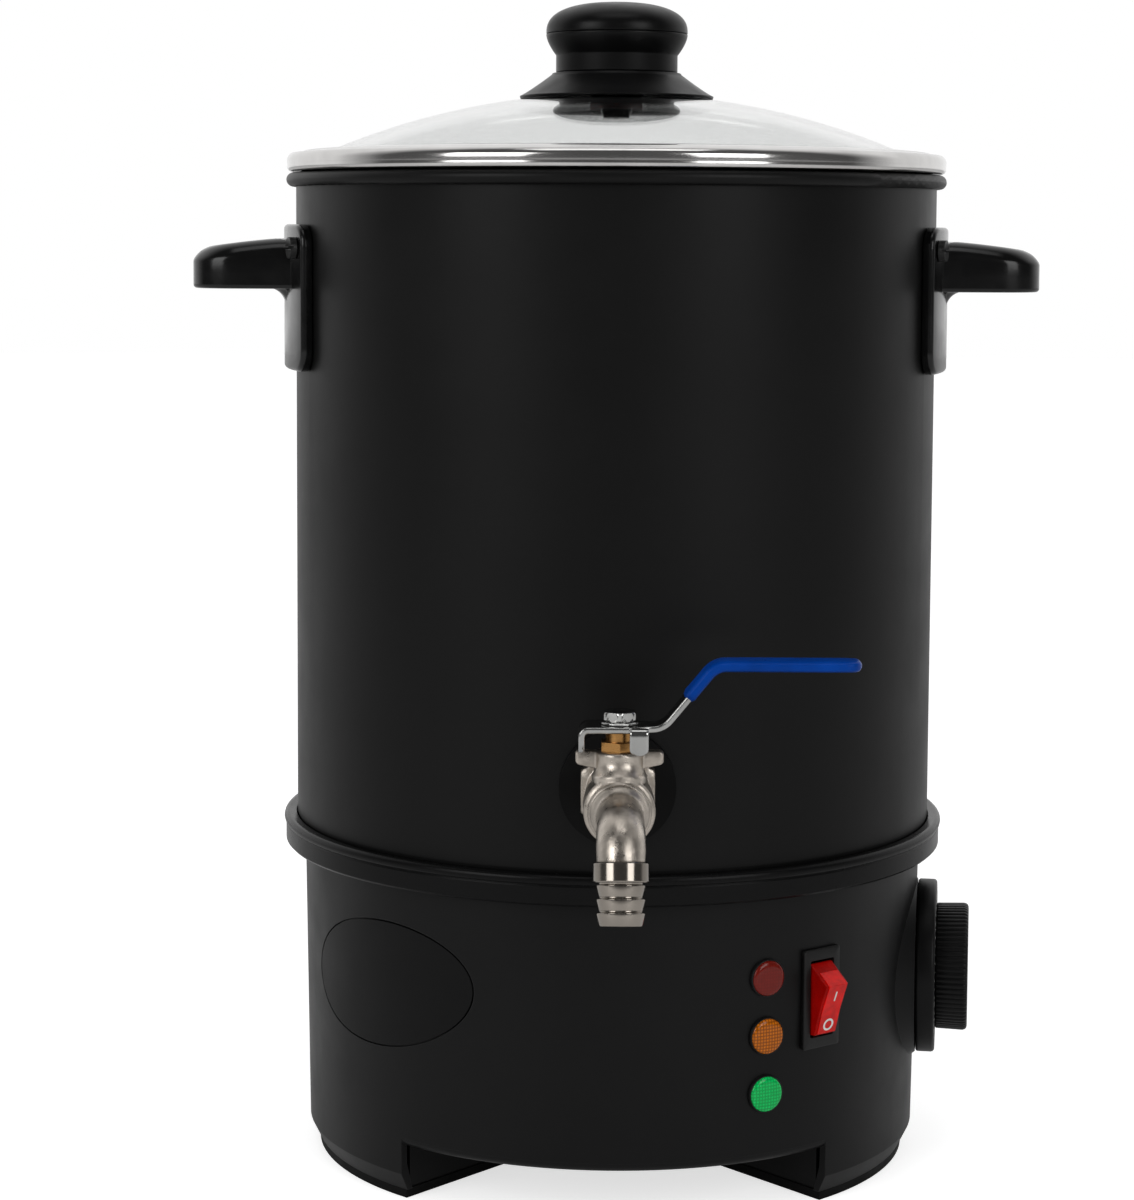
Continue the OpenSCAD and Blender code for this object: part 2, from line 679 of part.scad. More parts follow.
// The raised round that the dial turns on, flared where the wall falls away
module dial_boss() {
    front = dial_back - seat_gap;
    on_wall(dial_angle, dial_z) {
        translate([0, 0, base_r - 9])
            cylinder(r1 = bezel_r + (front + 8 - base_r) * boss_flare, r2 = bezel_r, h = front + 8 - base_r);
        translate([0, 0, front - 1.1]) cylinder(r1 = bezel_r, r2 = bezel_r - 0.8, h = 1.1);
    }
}
module base_shell() {
    chamfer = 3;
    color([0.08, 0.08, 0.08]) difference() {
        union() {
            rotate_extrude() polygon([[base_r - chamfer, foot_z], [base_r, base_low],
                [base_radius(shell_top), shell_top], [shelf_in, shell_top], [shelf_in, shell_top - shelf_t],
                [base_radius(shell_top) - base_wall - 2, shell_top - shelf_t],
                [base_radius(shell_top) - base_wall, shell_top - shelf_t - 2],
                [base_r - base_wall, base_low + 3], [base_r - base_wall - 2.6, foot_z]]);
            difference() {
                dial_boss();
                base_core(0.6 - base_wall);
            }
            for (a = boss_angles) rotate([0, 0, a]) {
                translate([0, -boss_d, 0]) disc(boss_r, arch_z + tray_t + fit_gap, arch_z + tray_t + 14);
                translate([-1.2, -base_r + base_wall / 2, arch_z + tray_t + fit_gap])
                    cube([2.4, base_r - boss_d - base_wall, 13]);
            }
        }
        arch_cut(0);
        arch_cut(180);
        for (a = boss_angles) rotate([0, 0, a]) translate([0, -boss_d, 0])
            disc(screw_r, arch_z, arch_z + tray_t + 11);
        for (z = lamp_heights) on_wall(lamp_angle, z) disc(lamp_body_r + 0.15, base_r - 8, base_r + 5);
        on_wall(switch_angle, switch_z) translate([0, 0, base_r - 3])
            cube([bezel_w - 2.2, bezel_h - 2.6, 20], center = true);
        on_wall(dial_angle, dial_z) {
            disc(shaft_r + 1, base_r - 12, base_r + 8);
            for (s = [-1, 1]) translate([s * 14, 0, 0]) {
                disc(screw_r + fit_gap, base_r - 12, base_r + 8);
                disc(3.3, dial_back - seat_gap - 2.2, base_r + 8);
            }
        }
        on_wall(gland_angle, gland_z) disc(6.6, base_r - 12, base_r + 5);
        at_studs(stud_ring_r) disc(stud_r + 0.3, shell_top - 10, shell_top + 1);
        difference() {
            badge_prism(groove_w);
            base_core(-badge_t - 0.1);
        }
    }
}
module badge_plate() {
    color([0.09, 0.09, 0.09]) difference() {
        intersection() {
            badge_prism(0);
            base_core(0);
        }
        base_core(-badge_t);
    }
}
module pedestal(grow, bottom, top) {
    sector(pedestal_in + grow, base_r - base_wall - 2.9 - grow, foot_angle + 0.8 + grow * 0.6,
        180 - foot_angle - 0.8 - grow * 0.6, bottom, top);
}
module base_tray() {
    tray_r = base_radius(arch_z) - base_wall - 0.4;
    color([0.07, 0.07, 0.07]) difference() {
        union() {
            disc(tray_r, arch_z, arch_z + tray_t);
            for (turn = [0, 180]) rotate([0, 0, turn]) pedestal(0, foot_z, arch_z + 1);
        }
        for (turn = [0, 180]) rotate([0, 0, turn]) pedestal(2.4, foot_z + 2.4, arch_z + 10);
        for (a = boss_angles) rotate([0, 0, a]) translate([0, -boss_d, 0])
            disc(screw_r + 0.2, arch_z - 1, arch_z + 5);
    }
}
module tray_screws() {
    color("silver") for (a = boss_angles) rotate([0, 0, a]) translate([0, -boss_d, 0]) {
        disc(screw_r - fit_gap, arch_z - 1, arch_z + tray_t + 10);
        disc(3.2, arch_z - 2, arch_z - fit_gap);
    }
}
module foot_pads() {
    frame_w = 7;
    color([0.03, 0.03, 0.03]) for (turn = [0, 180]) rotate([0, 0, turn]) difference() {
        sector(pedestal_in, base_r - 3.4, foot_angle + 0.5, 180 - foot_angle - 0.5, 0, foot_z);
        sector(pedestal_in + frame_w, base_r - 3.4 - frame_w, foot_angle + 5, 175 - foot_angle,
            -eps, foot_z + eps);
    }
}
module cord_gland() {
    wall_at = base_radius(gland_z);
    color([0.05, 0.05, 0.05]) on_wall(gland_angle, gland_z) difference() {
        union() {
            disc(9, wall_at + 0.2, wall_at + 2.5);
            translate([0, 0, wall_at + 2]) cylinder(r1 = 7.4, r2 = 6, h = 6);
            disc(6.5, wall_at - 9, wall_at + 1);
        }
        disc(gland_r, wall_at - 12, wall_at + 12);
    }
}
module cord_gland_nut() {
    wall_in = base_radius(gland_z) - base_wall - 0.8;
    color([0.05, 0.05, 0.05]) on_wall(gland_angle, gland_z) difference() {
        hexagon(17, wall_in - 3.4, wall_in);
        disc(6.5 + fit_gap, wall_in - 5, wall_in + 1);
    }
}

// ---- Dial and thermostat ----
module dial_disc() {
    color([0.04, 0.04, 0.04]) on_wall(dial_angle, dial_z) difference() {
        union() {
            disc(dial_r, dial_back, dial_back + disc_t - 0.5);
            translate([0, 0, dial_back + disc_t - 0.5]) cylinder(r1 = dial_r, r2 = dial_r - 0.5, h = 0.5);
        }
        disc(shaft_r + fit_gap, dial_back - 1, dial_back + disc_t + 1);
    }
}
module dial_grip() {
    z0 = dial_back + disc_t + fit_gap;
    color([0.05, 0.05, 0.05]) on_wall(dial_angle, dial_z) difference() {
        union() {
            disc(dial_grip_r - 0.4, z0, z0 + grip_t - 1.2);
            translate([0, 0, z0 + grip_t - 1.2])
                cylinder(r1 = dial_grip_r - 0.4, r2 = dial_grip_r - 1.6, h = 1.2);
            for (i = [0:flute_count - 1]) rotate([0, 0, i * 360 / flute_count])
                translate([dial_grip_r - 1, -0.45, z0]) cube([1, 0.9, grip_t - 1.4]);
        }
        disc(shaft_r + fit_gap, z0 - 1, z0 + 8);
    }
}
therm_front = sqrt(pow(base_radius(dial_z) - base_wall - 0.15, 2) - therm_w * therm_w / 4) - fit_gap;
module dial_shaft() {
    color("goldenrod") on_wall(dial_angle, dial_z)
        disc(shaft_r, therm_front - 10, dial_back + disc_t + 7.5);
}
module thermostat_body() {
    color("silver") on_wall(dial_angle, dial_z) difference() {
        union() {
            translate([0, 0, therm_front - 0.6]) cube([therm_w, 16, 1.2], center = true);
            translate([0, 0, therm_front - 9.1]) cube([32, 32, 16.2], center = true);
            disc(5.5, therm_front - 1, therm_front + 1.2);
            for (s = [-1, 1]) translate([s * 9, -8, therm_front - 21]) cube([6.3, 0.8, 9], center = true);
        }
        for (s = [-1, 1]) translate([s * 14, 0, 0]) disc(screw_r + fit_gap, therm_front - 8, therm_front + 1);
        disc(shaft_r + run_gap, therm_front - 10.1, therm_front + 2);
    }
}
module thermostat_screws() {
    head_at = dial_back - seat_gap - 2.2;
    color("silver") on_wall(dial_angle, dial_z) for (s = [-1, 1]) translate([s * 14, 0, 0]) {
        disc(screw_r, therm_front - 7, head_at + 1);
        disc(3, head_at + fit_gap, head_at + 1.8);
    }
}
bulb_z = pot_z - plate_h - 3.2;
module sensor_bulb() {
    color("peru") translate([24, 18, bulb_z]) rotate([0, 0, -38]) translate([-16, 0, 0]) rotate([0, 90, 0])
        cylinder(r = 3, h = 40);
}
// A straight run of thin tube with a rounded end
module run(from, to, r) {
    d = to - from;
    translate(from) rotate([0, acos(d[2] / norm(d)), atan2(d[1], d[0])])
        cylinder(r = r, h = norm(d), $fn = 24);
    translate(to) sphere(r = r * 1.02, $fn = 24);
}
module capillary() {
    tube_r = 0.8;
    out = therm_front - 4.26;
    side = 9.7;
    end_x = out * sin(dial_angle) + side * cos(dial_angle);
    end_y = side * sin(dial_angle) - out * cos(dial_angle);
    path = [[43.1, 3.1, bulb_z], [45.2, 1.4, bulb_z], [45.2, 1.4, shield_z + 6.5],
        [end_x, end_y, shield_z + 6.5], [end_x, end_y, dial_z + 17]];
    color("peru") for (i = [0:len(path) - 2]) run(path[i], path[i + 1], tube_r);
}

// ---- Switch ----
module switch_body() {
    front = base_radius(switch_z) + 0.1;
    color([0.04, 0.04, 0.04]) on_wall(switch_angle, switch_z) difference() {
        union() {
            translate([0, 0, front]) linear_extrude(height = bezel_t) round_rect(bezel_w, bezel_h, 0.8);
            translate([0, 0, front - 17]) linear_extrude(height = 17.5)
                square([bezel_w - 2.8, bezel_h - 3.2], center = true);
        }
        translate([0, 0, front - 15]) linear_extrude(height = 25) square([open_w, open_h], center = true);
        translate([0, 0, front + bezel_t - pivot_in]) rotate([0, 90, 0])
            cylinder(r = pivot_r + run_gap, h = open_w + 1.4, center = true);
    }
}
module rocker_outline() {
    polygon([
        [-rocker_end[0], rocker_end[1]], [-rocker_ridge[0], rocker_ridge[1]], [0, rocker_ridge[1] - 0.7],
        [rocker_ridge[0], rocker_ridge[1]], [rocker_end[0], rocker_end[1]], [9, -2.5], [2.5, -8], [-2.5, -8],
        [-9, -2.5]]);
}
module switch_rocker() {
    front = base_radius(switch_z) + 0.1;
    color([0.8, 0.05, 0.03]) on_wall(switch_angle, switch_z)
    translate([0, 0, front + bezel_t - pivot_in]) rotate([rocker_tilt, 0, 0]) {
        rotate([90, 0, 90]) translate([0, 0, -rocker_w / 2])
            linear_extrude(height = rocker_w) rocker_outline();
        rotate([0, 90, 0]) cylinder(r = pivot_r, h = open_w + 1, center = true);
    }
}
module switch_terminals() {
    back = base_radius(switch_z) + 0.1 - 17;
    color("silver") on_wall(switch_angle, switch_z) for (y = [-8, 0, 8])
        translate([-3.15, y - 0.4, back - 9]) cube([6.3, 0.8, 8.95]);
}

// ---- Lamps ----
module lamp_lens(z) {
    front = base_radius(z) + 0.1;
    on_wall(lamp_angle, z) rotate_extrude() polygon(concat(
        [[0, front - 5], [lamp_body_r - 0.9, front - 5], [lamp_body_r - 0.9, front], [lamp_r, front]],
        [for (i = [0:6]) let (t = 90 * i / 7)
            [lamp_r - 0.8 + 0.8 * cos(t), front + 0.9 + 0.8 * sin(t)]],
        [[0, front + 2.2]]));
}
module lamp_red() {
    color([0.5, 0.03, 0.03]) lamp_lens(lamp_heights[0]);
}
module lamp_amber() {
    color([0.9, 0.5, 0.05]) lamp_lens(lamp_heights[1]);
}
module lamp_green() {
    color([0, 0.6, 0.3]) lamp_lens(lamp_heights[2]);
}
module lamp_bodies() {
    color("white") for (z = lamp_heights) on_wall(lamp_angle, z) {
        back = base_radius(z) - 20;
        difference() {
            disc(lamp_body_r, back, base_radius(z) + fit_gap);
            disc(lamp_body_r - 0.85, back + 12, base_radius(z) + 1);
        }
        for (s = [-1, 1]) translate([s * 2.6 - 1.4, -0.4, back - 6]) cube([2.8, 0.8, 6.5]);
    }
}
module lamp_nuts() {
    color([0.9, 0.9, 0.9]) for (z = lamp_heights) on_wall(lamp_angle, z) difference() {
        hexagon(13, base_radius(z) - base_wall - 3.6, base_radius(z) - base_wall - 0.4);
        disc(lamp_body_r + fit_gap, base_radius(z) - 12, base_radius(z));
    }
}

// ---- Heater ----
plate_low = pot_z - plate_h;
clamp_top = plate_low - 2 * coil_r;
module heater_plate() {
    color("silver") tube(plate_r, centre_stud_r + 0.3, plate_low, pot_z - fit_gap);
}
module heater_coil() {
    lead_angle = 12;
    color("gray") {
        rotate([0, 0, 90 + lead_angle]) rotate_extrude(angle = 360 - 2 * lead_angle)
            translate([coil_mid_r, plate_low - coil_r - fit_gap]) circle(r = coil_r, $fn = 32);
        for (s = [-1, 1]) rotate([0, 0, s * (lead_angle + 3)]) translate([0, coil_mid_r, 0])
            disc(2.4, clamp_top - 9, plate_low - coil_r);
    }
}
module heater_clamp() {
    color("lightgray") difference() {
        disc(coil_mid_r + 6, clamp_top - 1.4, clamp_top - 2 * fit_gap);
        disc(centre_stud_r + 0.3, clamp_top - 5, clamp_top + 1);
        translate([-16, coil_mid_r - 12, clamp_top - 5]) cube([32, 30, 10]);
        translate([-25, 20, 0]) disc(9.5, clamp_top - 5, clamp_top + 1);
        translate([45.2, 1.4, 0]) disc(2.2, clamp_top - 5, clamp_top + 1);
    }
}
module clamp_nut() {
    color("silver") difference() {
        hexagon(10, clamp_top - 6.4, clamp_top - 1.4 - fit_gap);
        disc(centre_stud_r + fit_gap, clamp_top - 8, clamp_top);
    }
}
module thermal_cutout() {
    color("gainsboro") translate([-25, 20, 0]) {
        disc(8.5, clamp_top - 4, plate_low - fit_gap);
        for (s = [-1, 1]) translate([s * 5 - 0.4, -3.1, clamp_top - 10]) cube([0.8, 6.2, 6.5]);
    }
}
module support_ring() {
    top = shell_top - shelf_t;
    color("lightgray") difference() {
        tube(base_radius(shell_top) - base_wall - 2.4, plate_r + 4, top - 1.2, top - fit_gap);
        at_studs(stud_ring_r) disc(stud_r + 0.2, top - 5, top + 1);
    }
}
module heat_shield() {
    color("lightgray") difference() {
        disc(base_r - 9.8, shield_z, shield_z + 0.9);
        at_studs(stud_ring_r) disc(stud_r + 0.2, shield_z - 1, shield_z + 2);
    }
}
module terminal_block() {
    floor_z = arch_z + tray_t;
    color("white") translate([-22, 20, floor_z]) difference() {
        cube([44, 16, 14]);
        for (i = [0:3]) translate([7 + 10 * i, 8, 6]) disc(2.4, 0, 10);
    }
}

pot_shell();
pot_studs();
stud_nuts();
handle_left();
handle_right();
handle_screws();
handle_nuts();
lid_glass();
lid_band();
vent_eyelet();
knob_skirt();
knob_body();
knob_cap();
knob_screw();
knob_washer();
valve_body();
valve_spout();
hose_tail();
valve_ball();
valve_seats();
valve_stem();
stem_packing();
gland_nut();
lever_handle();
lever_sleeve();
lever_nut();
outer_gasket();
inner_gasket();
valve_locknut();
base_collar();
base_shell();
base_tray();
tray_screws();
foot_pads();
badge_plate();
cord_gland();
cord_gland_nut();
dial_disc();
dial_grip();
dial_shaft();
thermostat_body();
thermostat_screws();
sensor_bulb();
capillary();
switch_body();
switch_rocker();
switch_terminals();
lamp_red();
lamp_amber();
lamp_green();
lamp_bodies();
lamp_nuts();
heater_plate();
heater_coil();
heater_clamp();
clamp_nut();
thermal_cutout();
support_ring();
heat_shield();
terminal_block();
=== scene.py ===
"""Studio model of an electric candle wax melter, dressed over its solid parts."""
import math

import bpy
import numpy as np
from bpy.props import FloatProperty, FloatVectorProperty, IntProperty, PointerProperty
from mathutils import Matrix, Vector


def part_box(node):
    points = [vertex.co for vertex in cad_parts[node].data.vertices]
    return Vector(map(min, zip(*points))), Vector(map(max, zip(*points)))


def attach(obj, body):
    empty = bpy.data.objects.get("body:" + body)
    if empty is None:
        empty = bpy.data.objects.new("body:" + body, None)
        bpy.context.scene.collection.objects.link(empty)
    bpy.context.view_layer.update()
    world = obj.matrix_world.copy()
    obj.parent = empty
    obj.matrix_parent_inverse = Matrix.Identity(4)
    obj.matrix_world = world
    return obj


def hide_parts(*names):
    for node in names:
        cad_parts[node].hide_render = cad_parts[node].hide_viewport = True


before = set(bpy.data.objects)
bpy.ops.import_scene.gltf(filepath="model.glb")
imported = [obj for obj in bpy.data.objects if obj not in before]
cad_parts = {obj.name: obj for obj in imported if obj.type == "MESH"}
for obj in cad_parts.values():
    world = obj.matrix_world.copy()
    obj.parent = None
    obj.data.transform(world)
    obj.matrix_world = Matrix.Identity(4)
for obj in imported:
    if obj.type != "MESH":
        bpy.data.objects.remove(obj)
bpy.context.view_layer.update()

bl_info = {
    "name": "Wax Melter",
    "version": (1, 0, 0),
    "blender": (4, 5, 0),
    "location": "View3D > Sidebar > Melter",
    "description": "Dresses the solid parts of an electric wax melter with finished surfaces",
    "category": "Object",
}

# All shapes are worked out in millimetres. The heights are those of the frame.
MM = 0.001
VALVE_BORE = 4.42      # radius of the bore of spigot, spout and hose tail
BARREL_RADIUS = 10.9   # thickest part of the valve's body
BOSS_RISE = 17.6       # top of the valve's boss over its inlet axis
NOSE_REACH = 10.9      # end of the valve's nose past its stem
BEND_RADIUS = 11.4     # middle line of the spout's bend
STRIP_LEVEL = 168.7    # middle of the lever's strip at its hub
HOUSING_EDGE = 9       # height of the lower edge of the base's housing
HOUSING_FOOT = 105.8   # outer radius of the housing at that edge
HOUSING_LEAN = 0.0149  # growth of that radius with each millimetre of height
HEX_TURN = math.radians(30)      # turns a hexagon so that a corner faces forward
SCALE_START = math.radians(225)  # first mark of the dial's scale
SCALE_SPAN = math.radians(270)   # from the first mark to the last


# ---- sizes and colours

def a_length(name, metres, description):
    return FloatProperty(name=name, description=description, default=metres, unit="LENGTH")


def an_angle(name, degrees, description):
    return FloatProperty(name=name, description=description, default=math.radians(degrees),
                         unit="ROTATION")


def a_colour(name, rgb, description):
    return FloatVectorProperty(name=name, description=description, default=rgb, subtype="COLOR")


class MelterSizes(bpy.types.PropertyGroup):
    """Sizes that shape the finished surfaces."""

    pot_radius: a_length("Pot radius", 0.110, "Outer radius of the pot wall")
    dome_radius: a_length("Dome radius", 0.250, "Radius of the sphere that the glass lies on")
    glass_thickness: a_length("Glass thickness", 0.003, "Thickness of the lid's glass")
    stem_distance: a_length("Stem distance", 0.143, "Distance from the pot axis to the valve stem")
    spout_distance: a_length("Spout distance", 0.180, "Distance from the pot axis to the spout")
    spout_tilt: an_angle("Spout tilt", 14.0, "Angle that the hose tail leans forward")
    inlet_height: a_length("Inlet height", 0.144, "Height of the valve's inlet axis")
    dial_turn: an_angle("Dial direction", 82.0, "Angle of the dial's axis from the front")
    dial_height: a_length("Dial height", 0.0634, "Height of the dial's axis")
    switch_turn: an_angle("Switch direction", 38.4, "Angle of the switch from the front")
    switch_height: a_length("Switch height", 0.0701, "Height of the middle of the switch")
    rocker_tilt: an_angle("Rocker tilt", 18.0, "Tilt of the rocker while it is off")
    lamp_turn: an_angle("Lamp direction", 27.0, "Angle of the lamps from the front")
    lamp_height: a_length("Lamp height", 0.0413, "Height of the lowest lamp")
    lamp_pitch: a_length("Lamp pitch", 0.01905, "Distance from one lamp to the next")
    lamp_radius: a_length("Lamp radius", 0.00615, "Radius of a lamp lens")
    dial_marks: IntProperty(name="Dial marks", default=46, min=10, max=120,
                            description="Number of short marks on the dial's scale")


class MelterColours(bpy.types.PropertyGroup):
    """Colours of the finishes."""

    coat: a_colour("Pot coat", (0.0042, 0.0042, 0.0042), "Non-stick coat of the pot")
    housing: a_colour("Housing", (0.0036, 0.0036, 0.0037), "Moulded plastic of the base")
    phenolic: a_colour("Phenolic", (0.0022, 0.0022, 0.0023), "Handles and knob")
    nickel: a_colour("Nickel", (0.46, 0.415, 0.365), "Plated casting of the valve")
    steel: a_colour("Steel", (0.58, 0.57, 0.56), "Polished band of the lid")
    brass: a_colour("Brass", (0.42, 0.22, 0.075), "Packing nut and stem")
    sleeve: a_colour("Sleeve", (0.0001, 0.040, 0.26), "Dipped sleeve of the lever")
    rocker: a_colour("Rocker", (0.62, 0.003, 0.001), "Translucent rocker of the switch")
    lens_red: a_colour("Red lens", (0.15, 0.008, 0.004), "Unlit red lamp")
    lens_amber: a_colour("Amber lens", (0.36, 0.090, 0.001), "Amber lamp")
    lens_green: a_colour("Green lens", (0.001, 0.42, 0.085), "Green lamp")


def sizes():
    return bpy.context.scene.melter_sizes


def box_mm(node):
    """Low and high corner of a solid part's box, in millimetres."""
    return (np.array(corner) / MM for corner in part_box(node))


def wall_radius(height):
    """Outer radius of the base's housing, in millimetres, which leans out by 0.85 degrees."""
    return HOUSING_FOOT + (height - HOUSING_EDGE) * HOUSING_LEAN


# ---- surfaces

def arc(cx, cy, r, start, end, steps=8):
    """Points of a circle's arc: centre plus r times (cos, sin) of evenly spaced degrees."""
    t = np.radians(np.linspace(start, end, steps + 1))
    return np.column_stack([cx + r * np.cos(t), cy + r * np.sin(t)])


def once_round(steps):
    """Evenly spaced angles from 0 up to a full turn."""
    return np.linspace(0, 2 * math.pi, steps, endpoint=False)


def at_level(points, level):
    """Points with one more coordinate, which is the same for all of them."""
    return np.column_stack([points, np.full(len(points), level)])


def circle(radius, level, t):
    """Ring of points (radius cos(t), radius sin(t), level); the radius may change with t."""
    return at_level(np.column_stack([radius * np.cos(t), radius * np.sin(t)]), level)


def eased(value, low, high):
    """Smooth step: 0 below low, 1 above high, and 3t^2 - 2t^3 between."""
    t = np.clip((value - low) / (high - low), 0, 1)
    return t * t * (3 - 2 * t)


def unit(vectors):
    """The same directions with a length of one."""
    return vectors / np.linalg.norm(vectors, axis=-1, keepdims=True)


def closed(rows, ring=False):
    """Shell over a grid of points, rows by columns, whose columns run round and close.

    Neighbouring rows are joined by quads. The first and last rows are closed by caps,
    or joined to each other where the rows make a ring. The whole shell is turned
    outwards by the sign of its volume.
    """
    n, m, _ = rows.shape
    j = np.arange(m)
    k = (j + 1) % m
    i = np.arange(n if ring else n - 1)[:, None] * m
    up = (i + m) % (n * m)
    quads = np.stack([i + j, i + k, up + k, up + j], axis=-1).reshape(-1, 4)
    points = rows.reshape(-1, 3)
    a, b, c, d = (points[quads[:, q]] - points.mean(axis=0) for q in range(4))
    volume = np.einsum("ij,ij->i", a, np.cross(b, c) + np.cross(c, d)).sum()
    faces = quads.tolist()
    if not ring:
        # a cap joins each point to the one that mirrors it across the row
        h = np.arange(m // 2 - 1)
        cap = np.stack([h, m - 1 - h, m - 2 - h, h + 1], axis=-1)
        faces += cap.tolist() + ((n - 1) * m + cap[:, ::-1]).tolist()
    if volume < 0:
        faces = [face[::-1] for face in faces]
    return points, faces


def turned(profile, steps=128):
    """Lathe shape: each (radius, height) of the profile is carried round the z axis.

    x = radius cos(t), y = radius sin(t), z = height. A profile that starts and ends
    on the axis is closed by small caps, and any other is closed on itself.
    """
    profile = np.array(profile, float)
    on_axis = profile[0, 0] < 1e-9 and profile[-1, 0] < 1e-9
    if on_axis:
        profile[[0, -1], 0] = 1e-5
    t = once_round(steps)
    radius, level = profile[:, :1], profile[:, 1:]
    rows = np.stack(np.broadcast_arrays(radius * np.cos(t), radius * np.sin(t), level), axis=-1)
    return closed(rows, ring=not on_axis)


def round_box(width, height, radius, inset=0.0, corner=8, sides=1, left_radius=None):
    """Outline of a rounded rectangle: four quarter circles, moved in by the inset.

    Each corner's centre stays where it is while its radius shrinks by the inset, and
    once the radius is used up the corners move in along the diagonals. Its sides are
    split evenly, so that the outline can be bent.
    """
    left_radius = radius if left_radius is None else left_radius
    corners = []
    for sx, sy, start, full in ((1, 1, 0, radius), (-1, 1, 90, left_radius),
                                (-1, -1, 180, left_radius), (1, -1, 270, radius)):
        now = max(full - inset, 0.02 * full)
        corners.append(arc(sx * (width / 2 - inset - now), sy * (height / 2 - inset - now), now,
                           start, start + 90, corner))
    split = np.linspace(0, 1, sides + 1)[1:-1, None]
    return np.vstack([part for bend, after in zip(corners, corners[1:] + corners[:1])
                      for part in (bend, bend[-1] * (1 - split) + after[0] * split)])


def plate(width, height, radius, profile, corner=8, sides=1, left_radius=None):
    """Moulded plate: a rounded rectangle carried up through (inset, height) pairs."""
    return closed(np.stack([
        at_level(round_box(width, height, radius, inset, corner, sides, left_radius), level)
        for inset, level in profile]))


def swept(path, section, normals):
    """Bar: a flat section carried along a path.

    Each point is path + u times the side direction + v times the normal, where the
    side direction is the cross product of the path's tangent and its normal. The
    section holds one outline for each point of the path.
    """
    side = unit(np.cross(unit(np.gradient(path, axis=0)), normals))
    return closed(path[:, None] + section[..., :1] * side[:, None]
                  + section[..., 1:] * normals[:, None])


def scaled_sections(outline, width, thick):
    """One copy of an outline for each pair of a width and a thickness, which scale it."""
    return outline * np.stack(np.broadcast_arrays(width, thick), axis=-1)[:, None]


def hexagon_rings(across, levels, turn=0.0, steps=96):
    """Rings of a nut whose corners fall away to a cone at both ends.

    levels holds (height, largest radius) pairs. The hexagon's own radius is
    (across / 2) / cos(t mod 60 degrees - 30 degrees), and the smaller of the two counts.
    """
    t = once_round(steps)
    own = across / 2 / np.cos(np.mod(t, math.pi / 3) - math.pi / 6)
    return [circle(np.minimum(own, largest), level, t + turn) for level, largest in levels]


def moved(shape, offset):
    points, faces = shape
    return points + np.asarray(offset, float), faces


def spun(shape, matrix):
    points, faces = shape
    return points @ np.asarray(matrix, float).T, faces


def leaned(shape, angle):
    """Turns a shape about the x axis."""
    c, s = math.cos(angle), math.sin(angle)
    return spun(shape, [[1, 0, 0], [0, c, -s], [0, s, c]])


def rolled(shape, angle):
    """Turns a shape about the z axis."""
    c, s = math.cos(angle), math.sin(angle)
    return spun(shape, [[c, -s, 0], [s, c, 0], [0, 0, 1]])


def mirrored(shape):
    points, faces = shape
    return points * np.array([-1.0, 1.0, 1.0]), [face[::-1] for face in faces]


def on_wall(shape, turn, height):
    """Places a shape on the wall: its x goes right, y up and z out from the pot axis."""
    c, s = math.cos(turn), math.sin(turn)
    return moved(spun(shape, [[c, 0, s], [s, 0, -c], [0, 1, 0]]), (0, 0, height))


def wrapped(shape, bend):
    """Bends a flat shape on to a cylinder round the z axis.

    The shape's x is the distance round the wall, y the height and z the distance from
    the axis, so a point lands at z (sin a, -cos a) with a = x / bend radius.
    """
    points, faces = shape
    round_wall, height, out = points.T
    a = round_wall / bend
    return np.column_stack([out * np.sin(a), -out * np.cos(a), height]), faces


def piece(name, shapes, finish_name, body, replaces=(), flat_angle=35.0, bevel=0.0):
    """Puts shapes given in millimetres into one mesh object and attaches it to its body."""
    points, faces, start = [], [], 0
    for shape_points, shape_faces in shapes:
        points.append(shape_points * MM)
        faces += [[start + index for index in face] for face in shape_faces]
        start += len(shape_points)
    mesh = bpy.data.meshes.new(name)
    mesh.from_pydata(np.vstack(points).tolist(), [], faces)
    mesh.validate()
    mesh.update()
    obj = bpy.data.objects.new(name, mesh)
    bpy.context.scene.collection.objects.link(obj)
    mesh.materials.append(FINISHES[finish_name])
    mesh.polygons.foreach_set("use_smooth", np.ones(len(mesh.polygons), bool))
    mesh.set_sharp_from_angle(angle=math.radians(flat_angle))
    if bevel:
        modifier = obj.modifiers.new("Soft edges", "BEVEL")
        modifier.width = bevel * MM
        modifier.segments = 3
        modifier.limit_method = "ANGLE"
        modifier.angle_limit = math.radians(32)
        modifier.harden_normals = True
    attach(obj, body)
    if replaces:
        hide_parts(*replaces)


# ---- finishes

def fill(tree, target, inputs):
    """Fills a node's sockets: each is linked to another socket or holds a constant."""
    for socket, value in inputs.items():
        if isinstance(value, bpy.types.NodeSocket):
            tree.links.new(value, target.inputs[socket])
        else:
            target.inputs[socket].default_value = value


def node(tree, kind, inputs, **settings):
    """Adds a shader node and returns its outputs."""
    made = tree.nodes.new("ShaderNode" + kind)
    for name, value in settings.items():
        setattr(made, name, value)
    fill(tree, made, inputs)
    return made.outputs


def start_material(name):
    """New node material: returns it with its tree, its shader and its Object coordinates."""
    material = bpy.data.materials.new(name)
    material.use_nodes = True
    tree = material.node_tree
    return material, tree, tree.nodes["Principled BSDF"], node(tree, "TexCoord", {})["Object"]


def maths(tree, operation, *values):
    """Result of a Math node over sockets or constants."""
    return node(tree, "Math", dict(enumerate(values)), operation=operation)[0]


def noise(tree, coords, scale, detail=3.0, roughness=0.5):
    return node(tree, "TexNoise", {"Vector": coords, "Scale": scale, "Detail": detail,
                                   "Roughness": roughness})["Fac"]


